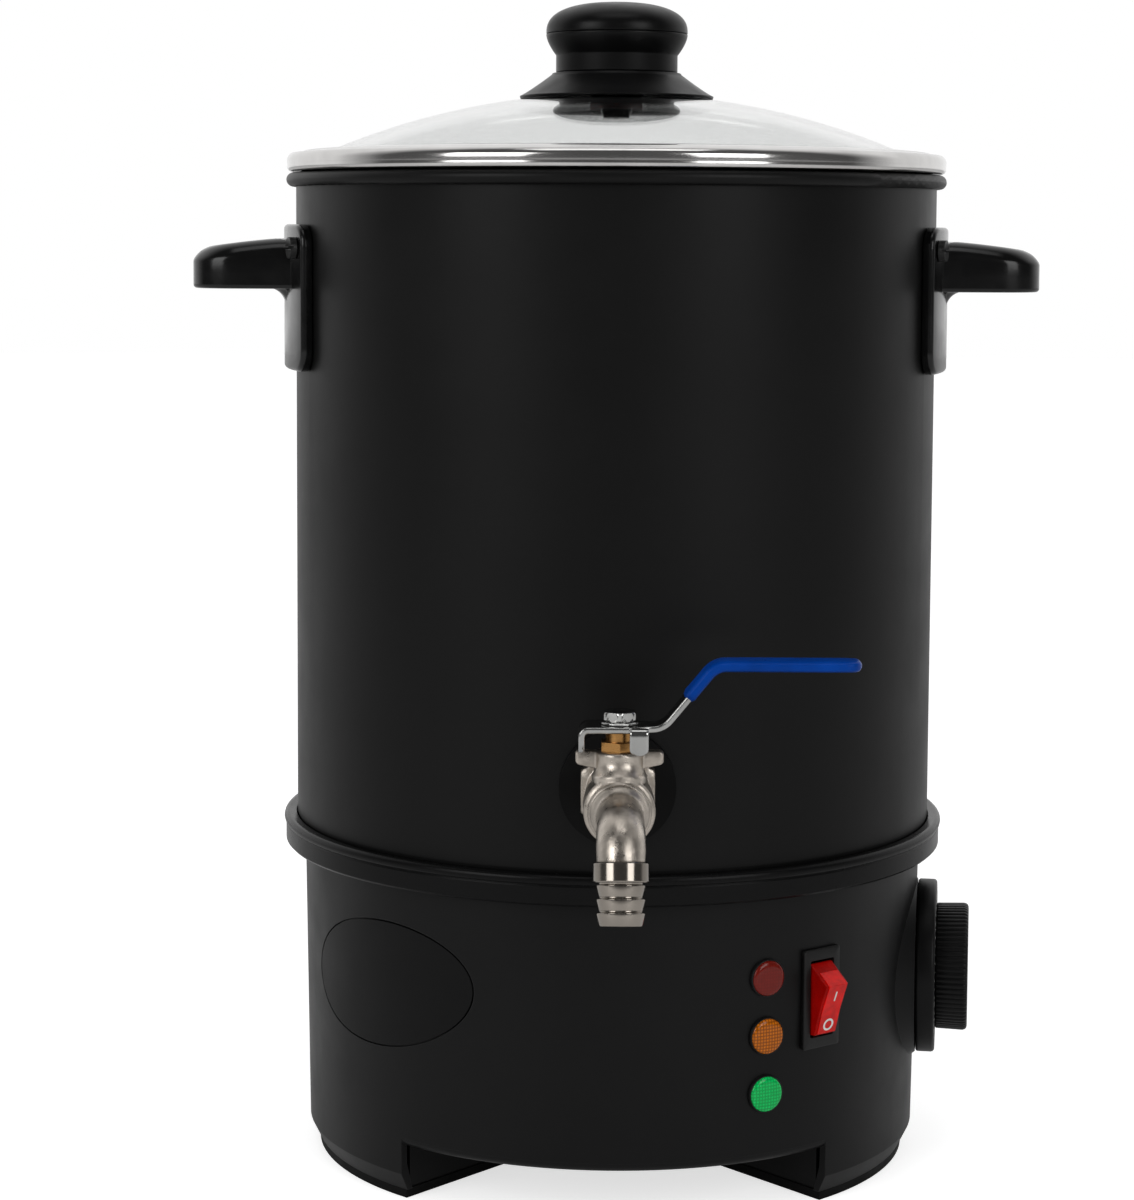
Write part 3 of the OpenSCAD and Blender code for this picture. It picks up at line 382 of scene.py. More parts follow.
def ranged(tree, value, low, high, from_low=0.3, from_high=0.7):
    """Maps a value from one range to another, held at both ends."""
    return node(tree, "MapRange", {"Value": value, "From Min": from_low, "From Max": from_high,
                                   "To Min": low, "To Max": high})["Result"]


def mixed(tree, factor, first, second):
    """Colour that goes from the first to the second as the factor goes from 0 to 1."""
    return node(tree, "Mix", {0: factor, 6: first, 7: second}, data_type="RGBA")[2]


def rounded(tree, edge):
    """Normal that rounds sharp edges over a radius in millimetres."""
    return node(tree, "Bevel", {"Radius": edge * MM}, samples=4)["Normal"]


def bumped(tree, height, distance, normal):
    """Normal raised by a height map, whose full step is a distance in millimetres."""
    return node(tree, "Bump", {"Height": height, "Strength": 1.0, "Distance": distance * MM,
                               "Normal": normal})["Normal"]


def shade(colour, factor=1.0):
    """A colour made lighter or darker, with full opacity."""
    return (*(min(channel * factor, 1.0) for channel in colour[:3]), 1.0)


def finish(name, colour, roughness, metallic=0.0, specular=0.5, grain=(3000, 0.02), relief=None,
           mottle=(45, 0.12), smear=0.08, edge=0.35, coat=0.0, painted_edge_highlight=None):
    """General finish: fine grain, broad relief and mottling, all by noise in space.

    Each of the three is a noise scale and a strength. The grain and the relief are
    bumps in millimetres on rounded edges, the mottling pulls the colour and the
    roughness to both sides, and a painted highlight lightens the edges that the
    rounded normal finds.
    """
    material, tree, shader, coords = start_material(name)
    broad = ranged(tree, noise(tree, coords, mottle[0], 4.0, 0.55), 0, 1)
    base = mixed(tree, broad, shade(colour, 1 - mottle[1]), shade(colour, 1 + mottle[1]))
    normal = rounded(tree, edge)
    # painted highlight: where the rounded normal turns away from the true one, on sharp edges, the
    # colour is lightened towards the given light grey
    if painted_edge_highlight:
        same = node(tree, "VectorMath", {0: node(tree, "NewGeometry", {})["Normal"], 1: normal},
                    operation="DOT_PRODUCT")["Value"]
        base = mixed(tree, ranged(tree, same, 0.85, 0.0, 0.80, 0.995), base, shade(painted_edge_highlight))
    if relief:
        normal = bumped(tree, noise(tree, coords, relief[0], 3.0, 0.55), relief[1], normal)
    smears = noise(tree, coords, mottle[0] * 1.7, 5.0, 0.6)
    fill(tree, shader, {
        "Base Color": base, "Metallic": metallic, "Specular IOR Level": specular,
        "Normal": bumped(tree, noise(tree, coords, grain[0], 2.0, 0.6), grain[1], normal),
        "Roughness": ranged(tree, smears, max(roughness - smear, 0.02), roughness + smear)})
    if coat:
        fill(tree, shader, {"Coat Weight": coat, "Coat Roughness": 0.08})
    return material


def brushed(name, colour, roughness, axis="Z", stretch=40.0, fine=900.0, depth=0.004, edge=0.3):
    """Turned or brushed metal: stretched noise gives fine lines, round z or along x."""
    material, tree, shader, coords = start_material(name)
    scale = {"X": (1, stretch, stretch), "Z": (1, 1, stretch)}[axis]
    drawn = node(tree, "Mapping", {"Vector": coords, "Scale": scale})["Vector"]
    lines = noise(tree, drawn, fine, 3.0, 0.6)
    broad = ranged(tree, noise(tree, coords, 60.0, 4.0, 0.5), 0, 1)
    fill(tree, shader, {
        "Base Color": mixed(tree, broad, shade(colour, 0.88), shade(colour, 1.08)),
        "Normal": bumped(tree, lines, depth, rounded(tree, edge)),
        "Roughness": ranged(tree, lines, roughness * 0.8, roughness * 1.3), "Metallic": 1.0})
    return material


def clear_glass(name):
    """Tempered glass: clear, with a slight green cast and a faint bloom of dust."""
    material, tree, shader, coords = start_material(name)
    dust = noise(tree, coords, 30.0, 5.0, 0.6)
    tint = mixed(tree, ranged(tree, dust, 0, 1), (0.90, 0.91, 0.905, 1), (0.93, 0.94, 0.935, 1))
    fill(tree, shader, {"Roughness": ranged(tree, dust, 0.0, 0.035), "Base Color": tint,
                        "Transmission Weight": 1.0, "IOR": 1.5})
    return material


def lens(name, colour, lit=0.0, contrast=0.5):
    """Lamp lens: clear coloured plastic with a square grid of small domes behind it.

    The grid is the product of two rectified sines, one across the lens and one up it,
    in coordinates turned to face the lens.
    """
    pitch = 1.05
    material, tree, shader, coords = start_material(name)
    facing = node(tree, "Mapping", {"Vector": coords, "Rotation": (0, 0, -sizes().lamp_turn)})
    split = node(tree, "SeparateXYZ", {0: facing["Vector"]})
    waves = [maths(tree, "ABSOLUTE", maths(tree, "SINE", maths(
        tree, "MULTIPLY", split[axis], math.pi / (pitch * MM)))) for axis in ("X", "Z")]
    dots = ranged(tree, maths(tree, "MULTIPLY", *waves), 0, 1, 0.1, 0.9)
    cloudy = ranged(tree, noise(tree, coords, 500.0, 3.0), 0.0, 0.4)
    base = mixed(tree, dots, shade(colour, 1 - contrast), shade(colour, 1 + contrast))
    base = mixed(tree, cloudy, base, shade(colour, 0.6))
    fill(tree, shader, {"Base Color": base, "Roughness": 0.12, "Specular IOR Level": 0.25})
    if lit:
        fill(tree, shader, {"Emission Color": base, "Emission Strength": lit})
    return material


FINISHES = {}


def make_finishes():
    """One material for each finish of the melter, kept by name."""
    c = bpy.context.scene.melter_colours
    FINISHES.update(
        coat=finish("Satin pot coat", c.coat, 0.40, specular=0.13, grain=(1400, 0.010),
            relief=(130, 0.02), mottle=(14, 0.18), smear=0.05),
        # the housing's lighter edges are a painted highlight
        housing=finish("Moulded housing", c.housing, 0.40, specular=0.15, grain=(2300, 0.018),
            mottle=(22, 0.15), smear=0.05, edge=0.5, painted_edge_highlight=(0.02, 0.02, 0.02)),
        collar=finish("Moulded collar", c.housing, 0.26, specular=0.10, grain=(2300, 0.006),
            mottle=(22, 0.15), smear=0.04, edge=0.4),
        phenolic=finish("Glossy phenolic", c.phenolic, 0.20, specular=0.28, grain=(900, 0.006),
            mottle=(60, 0.2), smear=0.06, coat=0.10, edge=0.5),
        knob=finish("Satin phenolic", c.phenolic, 0.36, specular=0.15, grain=(2200, 0.010),
            mottle=(60, 0.2), smear=0.06, edge=0.3),
        steel=brushed("Polished band", c.steel, 0.13, stretch=14, fine=1200, depth=0.0012),
        fixing=finish("Zinc fixings", (0.46, 0.45, 0.43), 0.36, metallic=1.0, grain=(2600, 0.010),
            mottle=(160, 0.16), smear=0.12, edge=0.25),
        nickel=finish("Cast nickel", c.nickel, 0.34, metallic=1.0, grain=(2100, 0.045),
            relief=(420, 0.10), mottle=(150, 0.22), smear=0.12, edge=0.8),
        turned=brushed("Turned nickel", shade(c.nickel, 0.66), 0.13, stretch=30, fine=700,
            depth=0.002, edge=0.2),
        bright=brushed("Bright steel", (0.36, 0.36, 0.355), 0.10, stretch=16, fine=1500,
            depth=0.001),
        plated=finish("Bright plating", (0.40, 0.40, 0.39), 0.13, metallic=1.0, grain=(1500, 0.003),
            mottle=(90, 0.10), smear=0.05, edge=0.3),
        ptfe=finish("White seal", (0.76, 0.76, 0.74), 0.55, grain=(2500, 0.02), mottle=(45, 0.04),
            edge=0.2),
        brass=brushed("Bare brass", c.brass, 0.27, stretch=20, fine=900, depth=0.004),
        sleeve=finish("Dipped vinyl", c.sleeve, 0.33, specular=0.08, grain=(1500, 0.012),
            relief=(150, 0.05), mottle=(90, 0.14), edge=0.3),
        rubber=finish("Black rubber", (0.0028, 0.0028, 0.0028), 0.6, specular=0.10,
            grain=(2400, 0.03), mottle=(80, 0.25), edge=0.3),
        silicone=finish("Red silicone", (0.28, 0.040, 0.022), 0.5, grain=(2400, 0.02), edge=0.3),
        dial=finish("Dial plastic", c.phenolic, 0.38, specular=0.16, grain=(2600, 0.012),
            mottle=(60, 0.15), smear=0.05, edge=0.3),
        print=finish("White print", (0.72, 0.72, 0.70), 0.5, grain=(3000, 0.004), mottle=(45, 0.05),
            edge=0.02),
        switch=finish("Switch plastic", (0.006, 0.006, 0.006), 0.4, specular=0.25,
            grain=(3200, 0.015), mottle=(90, 0.12), edge=0.25),
        rocker=finish("Translucent rocker", shade(c.rocker, 0.5), 0.28, specular=0.08,
            grain=(1200, 0.004), mottle=(160, 0.18), smear=0.05, edge=0.3),
        rocker_inset=finish("Rocker window", c.rocker, 0.22, specular=0.22, grain=(1300, 0.006),
            mottle=(260, 0.25), smear=0.04, edge=0.1),
        blackened=finish("Blackened screws", (0.012, 0.012, 0.012), 0.35, specular=0.3,
            grain=(2600, 0.010), edge=0.25),
        badge=finish("Badge plate", c.housing, 0.42, specular=0.11, grain=(2300, 0.012),
            mottle=(22, 0.15), smear=0.05, edge=0.3),
        white=finish("White plastic", (0.62, 0.62, 0.60), 0.45, grain=(2800, 0.02),
            mottle=(45, 0.05)),
        alloy=finish("Cast alloy", (0.50, 0.50, 0.50), 0.48, metallic=1.0, grain=(1800, 0.03),
            relief=(300, 0.06)),
        sheath=finish("Heater sheath", (0.17, 0.15, 0.13), 0.5, metallic=0.9, mottle=(70, 0.35)),
        sheet=brushed("Galvanised sheet", (0.50, 0.51, 0.52), 0.36, axis="X", stretch=6, fine=500,
            depth=0.003),
        copper=finish("Copper tube", (0.60, 0.26, 0.14), 0.32, metallic=1.0, mottle=(110, 0.25),
            grain=(3000, 0.008), edge=0.1),
        ceramic=finish("Steatite", (0.66, 0.63, 0.57), 0.35, mottle=(45, 0.06), grain=(1800, 0.02)),
        glass=clear_glass("Dome glass"),
        lens_red=lens("Red lens", c.lens_red, contrast=0.12),
        lens_amber=lens("Amber lens", c.lens_amber, lit=0.12),
        lens_green=lens("Green lens", c.lens_green, lit=0.08, contrast=0.3),
    )


# the solid parts that take each finish
FINISH_NODES = {
    "coat": "pot_shell",
    "fixing": "pot_studs stud_nuts lever_handle lever_nut tray_screws thermostat_screws "
              "switch_terminals clamp_nut",
    "phenolic": "handle_left handle_right",
    "blackened": "handle_screws",
    "bright": "handle_nuts knob_screw valve_ball valve_locknut",
    "glass": "lid_glass",
    "steel": "lid_band vent_eyelet",
    "knob": "knob_skirt knob_body knob_cap",
    "silicone": "knob_washer inner_gasket",
    "nickel": "valve_body valve_spout",
    "turned": "hose_tail",
    "ptfe": "valve_seats stem_packing",
    "brass": "valve_stem gland_nut dial_shaft",
    "sleeve": "lever_sleeve",
    "rubber": "outer_gasket foot_pads",
    "collar": "base_collar",
    "housing": "base_shell base_tray",
    "badge": "badge_plate",
    "switch": "cord_gland cord_gland_nut switch_body",
    "dial": "dial_disc dial_grip",
    "sheet": "thermostat_body heater_clamp support_ring heat_shield",
    "copper": "sensor_bulb capillary",
    "rocker": "switch_rocker",
    "lens_red": "lamp_red",
    "lens_amber": "lamp_amber",
    "lens_green": "lamp_green",
    "white": "lamp_bodies lamp_nuts",
    "alloy": "heater_plate thermal_cutout",
    "sheath": "heater_coil",
    "ceramic": "terminal_block",
}


class MELTER_OT_finishes(bpy.types.Operator):
    """Give every solid part of the frame its finish"""

    bl_idname = "melter.finishes"
    bl_label = "Finishes"

    def execute(self, context):
        make_finishes()
        finishes = {part: name for name, parts in FINISH_NODES.items() for part in parts.split()}
        missing = set(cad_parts) - set(finishes)
        if missing:
            raise RuntimeError("parts with no finish: " + ", ".join(sorted(missing)))
        for part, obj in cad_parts.items():
            material = FINISHES[finishes[part]]
            if not obj.data.materials:
                obj.data.materials.append(material)
            for slot in obj.material_slots:
                slot.material = material
        return {"FINISHED"}


# ---- stage

def set_up(name, data, columns, place):
    """Adds a light or camera whose own axes are the given columns, at a place."""
    obj = bpy.data.objects.new(name, data)
    bpy.context.scene.collection.objects.link(obj)
    obj.matrix_world = Matrix.Translation(place) @ Matrix(columns.tolist()).to_4x4()
    return obj


def area_light(name, place, target_height, width, height, power):
    """Rectangular light that points at the melter's axis."""
    data = bpy.data.lights.new(name, "AREA")
    data.shape = "RECTANGLE"
    data.size = width
    data.size_y = height
    data.energy = power
    back = unit(np.array(place) - (0, 0, target_height))
    level = unit(np.cross((0, 0, 1), back))
    set_up(name, data, np.column_stack([level, np.cross(back, level), back]), place)


def seen(tree):
    """1 for rays from the camera and for mirrored and refracted ones, else 0."""
    path = node(tree, "LightPath", {})
    direct = maths(tree, "MAXIMUM", path["Is Camera Ray"], path["Is Glossy Ray"])
    return maths(tree, "MAXIMUM", direct, path["Is Transmission Ray"])


def camera():
    """Camera that stands as the photo's did: near level, with a long lens."""
    pitch, roll = math.radians(5.041), math.radians(0.298)
    focal, picture_height = 2921.96, 1200.0
    data = bpy.data.cameras.new("Camera")
    data.sensor_fit = "VERTICAL"
    data.sensor_height = 36.0
    data.lens = data.sensor_height * focal / picture_height
    data.shift_x = -0.0025
    data.shift_y = -0.10
    data.clip_start = 0.05
    level = np.array([1.0, 0, 0])
    rise = np.array([0, math.sin(pitch), math.cos(pitch)])
    right = level * math.cos(roll) + rise * math.sin(roll)
    up = rise * math.cos(roll) - level * math.sin(roll)
    back = np.array([0, -math.cos(pitch), math.sin(pitch)])
    return set_up("Camera", data, np.column_stack([right, up, back]), (-0.01536, -1.01396, 0.32015))


def surroundings():
    """Even grey light, in which mirrors see a white backdrop ahead and a dark room behind."""
    world = bpy.data.worlds.new("Studio")
    world.use_nodes = True
    tree = world.node_tree
    ahead = node(tree, "SeparateXYZ", {0: node(tree, "TexCoord", {})["Generated"]})["Y"]
    room = ranged(tree, ahead, 0.10, 1.0, -0.05, 0.40)
    fill(tree, tree.nodes["Background"], {
        "Color": (1, 1, 1, 1), "Strength": node(tree, "Mix", {0: seen(tree), 2: 0.42, 3: room})[0]})
    return world


def pale_floor():
    """Pale floor that glows a little, so that it meets the white surroundings."""
    half = 6
    mesh = bpy.data.meshes.new("Floor")
    mesh.from_pydata([(-half, -half, 0), (half, -half, 0), (half, half, 0), (-half, half, 0)], [],
                     [(0, 1, 2, 3)])
    floor = bpy.data.objects.new("Floor", mesh)
    bpy.context.scene.collection.objects.link(floor)
    material, tree, shader, coords = start_material("Pale floor")
    cloud = ranged(tree, noise(tree, coords, 3.0, 2.0), 0, 1)
    direct = node(tree, "LightPath", {})["Is Camera Ray"]
    glow = maths(tree, "MULTIPLY_ADD", direct, 0.55, ranged(tree, seen(tree), 0.0, 0.12, 0.0, 1.0))
    fill(tree, shader, {
        "Base Color": mixed(tree, cloud, (0.80, 0.80, 0.80, 1), (0.82, 0.82, 0.82, 1)),
        "Roughness": 0.6, "Specular IOR Level": 0.2, "Emission Color": (1, 1, 1, 1),
        "Emission Strength": glow})
    mesh.materials.append(material)
    return floor


class MELTER_OT_stage(bpy.types.Operator):
    """Set the camera, the lights, the pale floor and the white surroundings"""

    bl_idname = "melter.stage"
    bl_label = "Stage"

    def execute(self, context):
        scene = context.scene
        scene.view_settings.view_transform = "Standard"
        scene.camera = camera()
        area_light("Left softbox", (-1.45, -1.45, 0.95), 0.22, 1.1, 1.1, 14)
        area_light("Right softbox", (1.25, -1.63, 0.95), 0.22, 0.95, 1.1, 12)
        area_light("Top softbox", (0.0, -0.35, 1.7), 0.2, 1.0, 0.6, 3)
        scene.world = surroundings()
        floor = pale_floor()
        return {"FINISHED"}


# ---- handles

def handle_shapes():
    """Right handle: a curved lug, a hollow grip and the fillet between them.

    The lug is a rounded plate bent on to the wall. The grip is a rounded plate whose
    profile runs over its top, down its outside, round its lower lip and up its inside,
    while its wall side follows the pot. The fillet is a hollowed wedge carried round
    the wall below the grip.
    """
    low, high = box_mm("handle_right")
    pot = sizes().pot_radius / MM
    inner, face, lug_width = pot + 0.06, pot + 4.1, 93.0
    depth = high[2] - low[2]
    middle = depth / 2 - 0.5
    lug_profile = [*((inset, inner) for inset in np.linspace(middle, 0.4, 7)),
                   (0.0, inner + 0.4), (0.0, face - 1.5), *arc(1.5, face - 1.5, 1.5, 180, 90, 6),
                   *((inset, face) for inset in np.linspace(6.0, middle, 6))]
    lug = moved(plate(lug_width, depth, 7.0, lug_profile, sides=48), (0, low[2] + depth / 2, 0))
    lug = rolled(wrapped(lug, pot + 2), math.pi / 2)

    top, lip = 314.3, 297.4
    reach, width = high[0] - pot, 68.0
    grip_profile = [(15.5, top), (11.0, top), (6.5, top), *arc(6.5, top - 6.5, 6.5, 90, 180, 9),
                    (0.0, lip + 5), (0.0, lip + 1.2), *arc(1.2, lip + 1.2, 1.2, 180, 270, 5),
                    (1.9, lip), *arc(1.9, lip + 1.1, 1.1, 270, 360, 5), (3.0, lip + 5),
                    (3.0, top - 7.2), *arc(6.4, top - 7.1, 3.4, 180, 90, 5), (15.5, top - 3.7)]
    points, faces = plate(reach, width, 13.0, grip_profile, corner=14, sides=14, left_radius=1.2)
    across, y, level = points.T
    u = across / reach + 0.5
    x = (1 - u) * np.sqrt((pot + 1.4) ** 2 - y ** 2) + u * high[0]
    droop = 3.0 * np.clip((x - pot - 3) / 26, 0, 1) ** 1.3 * eased(level, lip + 6, top - 2)
    notch = 2.6 * (1 - eased(np.abs(y), 9, 15)) * eased(x, high[0] - 12, high[0] - 5)
    z = level - droop + notch * np.clip(1 - (level - lip) / 5.5, 0, 1)
    grip = np.column_stack([x, y, z]), faces

    y = np.linspace(-27, 27, 40)
    ends = 1 - eased(np.abs(y), 22.5, 27.0) * 0.75
    path = np.column_stack([np.sqrt((face - 0.8) ** 2 - y ** 2), y, np.full_like(y, lip)])
    wedge = np.vstack([[(-1.2, 2.6), (3.0, 2.6), (6.6, 2.6)], arc(6.6, -6.2, 6.2, 90, 180, 10),
                       [(-1.2, -6.2), (-1.2, -2.0)]])
    fillet = swept(path, wedge * ends[:, None, None], np.tile([0, 0, 1.0], (len(y), 1)))
    return [lug, grip, fillet]


class MELTER_OT_handles(bpy.types.Operator):
    """Make the two glossy handles with their hollow grips"""

    bl_idname = "melter.handles"
    bl_label = "Handles"

    def execute(self, context):
        right = handle_shapes()
        for side, shapes in (("right", right), ("left", [mirrored(shape) for shape in right])):
            piece("grip_" + side, shapes, "phenolic", "melter",
                  ["handle_" + side])
        return {"FINISHED"}


# ---- lid

def dome(radius, inset=0.0):
    """Height of the glass at a distance from the axis: a sphere under the lid's apex."""
    sphere = sizes().dome_radius / MM
    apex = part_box("lid_glass")[1][2] / MM
    return apex - sphere + np.sqrt((sphere - inset) ** 2 - np.asarray(radius, float) ** 2)


def glass_profile():
    """Out along the upper sphere, round the cut edge, and back along the lower one."""
    thick = sizes().glass_thickness / MM
    out, back = np.linspace(2.7, 106.0, 46), np.linspace(105.7, 2.7, 46)
    edge = [(106.35, dome(106.35) - 0.35), (106.4, dome(106.4) - 1.5),
            (106.2, dome(106.2, thick) + 0.5)]
    return np.vstack([np.column_stack([out, dome(out)]), edge,
                      np.column_stack([back, dome(back, thick)])])


def band_profile():
    """Rolled band: flat top, round shoulder, tight curl below, and the lip inside."""
    base = 336.9
    top = dome(99.6) + 1.1
    under = np.linspace(105.5, 100.2, 6)
    return np.vstack([
        [(99.6, dome(99.6) + 0.1), (99.55, top - 0.35)], arc(99.9, top - 0.35, 0.35, 180, 90, 4),
        [(103.5, top - 0.30), (107.0, top - 0.72)], arc(107.6, base + 2.6, 4.15, 84, 62, 3),
        arc(110.1, base + 3.7, 3.0, 60, 5), [(113.0, base + 2.6)],
        arc(111.4, base + 1.62, 1.62, 14, -100, 10), [(109.3, base + 0.25), (107.4, base + 0.1)],
        arc(107.2, base - 0.6, 0.6, 90, 180, 3), [(106.6, base - 4.7)],
        arc(106.15, base - 4.6, 0.4, 0, -180, 5), [(105.75, base + 0.7)],
        [(106.0, base + 1.0), (106.45, base + 1.2), (106.45, dome(106.4) + 0.05)],
        np.column_stack([under, dome(under) + 0.06])])


def knob_profiles():
    """Skirt, waist and cap of the knob.

    The skirt flares from the glass to the waist. The waist is straight and then swells
    as 1 - (1 - t)^1.6. The cap is a superellipse: (r / R)^2.5 + (z / H)^2.5 = 1.
    """
    low, high = box_mm("knob_skirt")
    foot, shoulder = high[0], high[2]
    seat = dome(foot) + 0.75
    t = np.linspace(0, 1, 12)
    flare = np.column_stack([foot - 11.0 * t, seat + 0.4 + (shoulder - 0.9 - seat) * t ** 1.12])
    skirt = np.vstack([
        [(2.6, low[2] + 2.0), (2.6, dome(0) + 0.06), (9.0, dome(0) + 0.06), (9.0, shoulder - 2.2),
         (19.8, shoulder - 2.2), (foot - 1.5, seat)],
        arc(foot - 0.45, seat, 0.42, 250, 350, 5), flare,
        arc(foot - 11.5, shoulder - 0.5, 0.5, 40, 90, 4), [(12.0, shoulder), (2.6, shoulder)]])

    low, high = box_mm("knob_body")
    widest, seam = high[0], high[2]
    neck, swell_from = 20.95, low[2] + 6.2
    t = np.linspace(0, 1, 16)
    swell = np.column_stack([neck + (widest - neck) * (1 - (1 - t) ** 1.6),
                             swell_from + (seam - 0.2 - swell_from) * t])
    waist = np.vstack([[(0, low[2] + 0.02), (20.4, low[2] + 0.02)],
                       arc(20.4, low[2] + 0.55, 0.5, -90, 0, 4), [(20.9, low[2] + 5.9)], swell,
                       arc(widest - 0.2, seam - 0.2, 0.18, 10, 90, 4), [(0, seam - 0.02)]])

    low, high = box_mm("knob_cap")
    t = np.linspace(0, math.pi / 2, 30)
    crown = np.column_stack([widest * np.cos(t) ** (2 / 2.5),
                             low[2] + 0.4 + (high[2] - low[2] - 0.4) * np.sin(t) ** (2 / 2.5)])
    crown[-1, 0] = 0
    cap = np.vstack([[(0, low[2] + 0.02), (widest - 0.3, low[2] + 0.02)],
                     arc(widest - 0.2, low[2] + 0.25, 0.18, -80, -20, 3), crown])
    return skirt, waist, cap


class MELTER_OT_lid(bpy.types.Operator):
    """Make the glass dome, its rolled band and the knob"""

    bl_idname = "melter.lid"
    bl_label = "Lid"

    def execute(self, context):
        skirt, waist, cap = knob_profiles()
        for name, profile, steps, finish_name, slot, part in (
                ("dome_glass", glass_profile(), 192, "glass", "glass", "lid_glass"),
                ("rolled_band", band_profile(), 256, "steel", "lid_steel", "lid_band"),
                ("knob_flare", skirt, 128, "knob", "knob_plastic", "knob_skirt"),
                ("knob_waist", waist, 128, "knob", "knob_plastic", "knob_body"),
                ("knob_crown", cap, 128, "knob", "knob_plastic", "knob_cap")):
            piece(name, [turned(profile, steps)], finish_name, "lid", [part], flat_angle=50)
        return {"FINISHED"}


# ---- valve

def barrel_profile(pot, stem):
    """Casting round the inlet axis: spigot, neck, swollen body, two steps and the nose.

    The profile comes back along the ball's chamber and the spigot's bore.
    """
    root, end = pot - 12.6, stem + 7.5
    chamber, thick = 7.96, BARREL_RADIUS
    return np.vstack([
        [(10.0, root), (10.0, pot + 8.0), (9.9, pot + 9.5), (9.75, pot + 12.0),
         (9.8, pot + 15.0), (9.95, stem - 13.5), (10.3, stem - 11.2), (10.75, stem - 8.0),
         (thick, stem - 5.0), (thick, end - 2.1)],
        arc(9.5, end - 1.4, 1.4, 0, 80, 5), [(9.55, end + 0.1)],
        arc(8.35, end + 2.15, 1.25, 0, 85, 5),
        [(chamber, stem + NOSE_REACH), (chamber, stem + 9.6), (chamber, stem - 9.75),
         (VALVE_BORE, stem - 9.8), (VALVE_BORE, root)]])


def boss_shape(z):
    """Upright boss: a lathe whose foot spreads into the barrel below it.

    The spread is 2.4 (1 - h / 4.5)^2 mm, where h is the height over the barrel's top at
    that place, the square root of 10.9^2 - x^2.
    """
    top, rim, bore, stem_hole = z + BOSS_RISE, 0.9, 4.4, 2.97
    foot, steps = z + 8.2, 30
    t = once_round(96)
    turn = np.radians([30, 60, 90])
    levels = np.concatenate([np.linspace(foot, top - rim, steps), top - rim + rim * np.sin(turn)])
    edge = np.concatenate([np.zeros(steps), rim * (1 - np.cos(turn))])
    saddle = z + np.sqrt(BARREL_RADIUS ** 2 - (7.2 * np.cos(t)) ** 2)
    rise = np.clip((levels[:, None] - saddle) / 4.5, 0, 1)
    radius = 7.5 - edge[:, None] + 2.4 * (1 - rise) ** 2
    radius = np.minimum(radius, 8.4 + 1.5 * np.sin(t) ** 2)
    outer = np.stack(np.broadcast_arrays(radius * np.cos(t), radius * np.sin(t), levels[:, None]),
                     axis=-1)
    inner = [circle(r, level, t) for r, level in (
        (bore, top), (bore, top - 5.0), (stem_hole, top - 5.0), (stem_hole, foot))]
    return closed(np.concatenate([outer, np.stack(inner)]), ring=True)


def ear_shape(z):
    """Right stop ear: a thick rounded plate beside the boss, lower at its outer end."""
    height = 5.3
    profile = [(0.7, -2.35), (0.25, -2.2), (0.0, -1.7), (0.0, 1.7), (0.25, 2.2), (0.7, 2.35)]
    points, faces = plate(9.2, height, 1.3, profile, corner=5, sides=8)
    x = points[:, 0] + 8.7
    fall = (height / 2 - points[:, 1]) * (1 - 0.24 * np.clip((x - 7.5) / 5.5, 0, 1))
    placed = np.column_stack([x, points[:, 2], z + BOSS_RISE - 0.03 - fall])
    return placed, [face[::-1] for face in faces]


def spout_shape(size):
    """Spout: a tube that leaves the nose through a cone, bends down and meets the hose tail.

    Both its outer radius and its bore run along the same path, the outside first and
    then back along the bore, so the tube stays open.
    """
    z, reach, tilt = size.inlet_height / MM, size.spout_distance / MM, size.spout_tilt
    end = size.stem_distance / MM + NOSE_REACH
    turn_at = reach - BEND_RADIUS * math.cos(tilt)
    bend = np.linspace(0, math.pi / 2 - tilt, 22)[1:]
    ahead = np.concatenate([np.linspace(end - 1.0, end + 3.6, 12),
                            np.linspace(end + 4.4, turn_at, 10), np.full(len(bend), turn_at)])
    t = np.concatenate([np.zeros(len(ahead) - len(bend)), bend])
    path = np.column_stack([0 * t, -ahead - BEND_RADIUS * np.sin(t),
                            z - BEND_RADIUS * (1 - np.cos(t))])
    tangent = np.column_stack([0 * t, -np.cos(t), -np.sin(t)])
    radius = 7.0 + 1.95 * (1 - eased(ahead - end, -0.2, 3.6)) + 0.28 * np.sin(2 * t) ** 2
    a = once_round(72)[:, None]
    across = np.array([1.0, 0, 0])
    ring = np.cos(a) * across + np.sin(a) * np.cross(across, tangent)[:, None]
    outer = path[:, None] + radius[:, None, None] * ring
    return closed(np.concatenate([outer, path[::-1, None] + VALVE_BORE * ring[::-1]]), ring=True)


def tail_profile():
    """Hose tail: a chamfered collar, a neck and three barbs that taper downwards."""
    rows = [(VALVE_BORE, -0.02), (7.9, -0.02), (8.28, -0.35), (8.28, -5.45), (7.95, -5.8),
            (6.6, -5.85), (6.5, -6.35)]
    for shoulder in (-6.4, -10.4, -14.4):
        rows += [(6.95, shoulder - 0.05), (7.23, shoulder - 0.25), (7.23, shoulder - 0.6),
                 (6.5, shoulder - 3.5), (6.4, shoulder - 3.55), (6.4, shoulder - 3.85)]
    return np.array(rows[:-3] + [(6.45, -18.1), (6.25, -18.36), (4.8, -18.38), (VALVE_BORE, -18.1)])


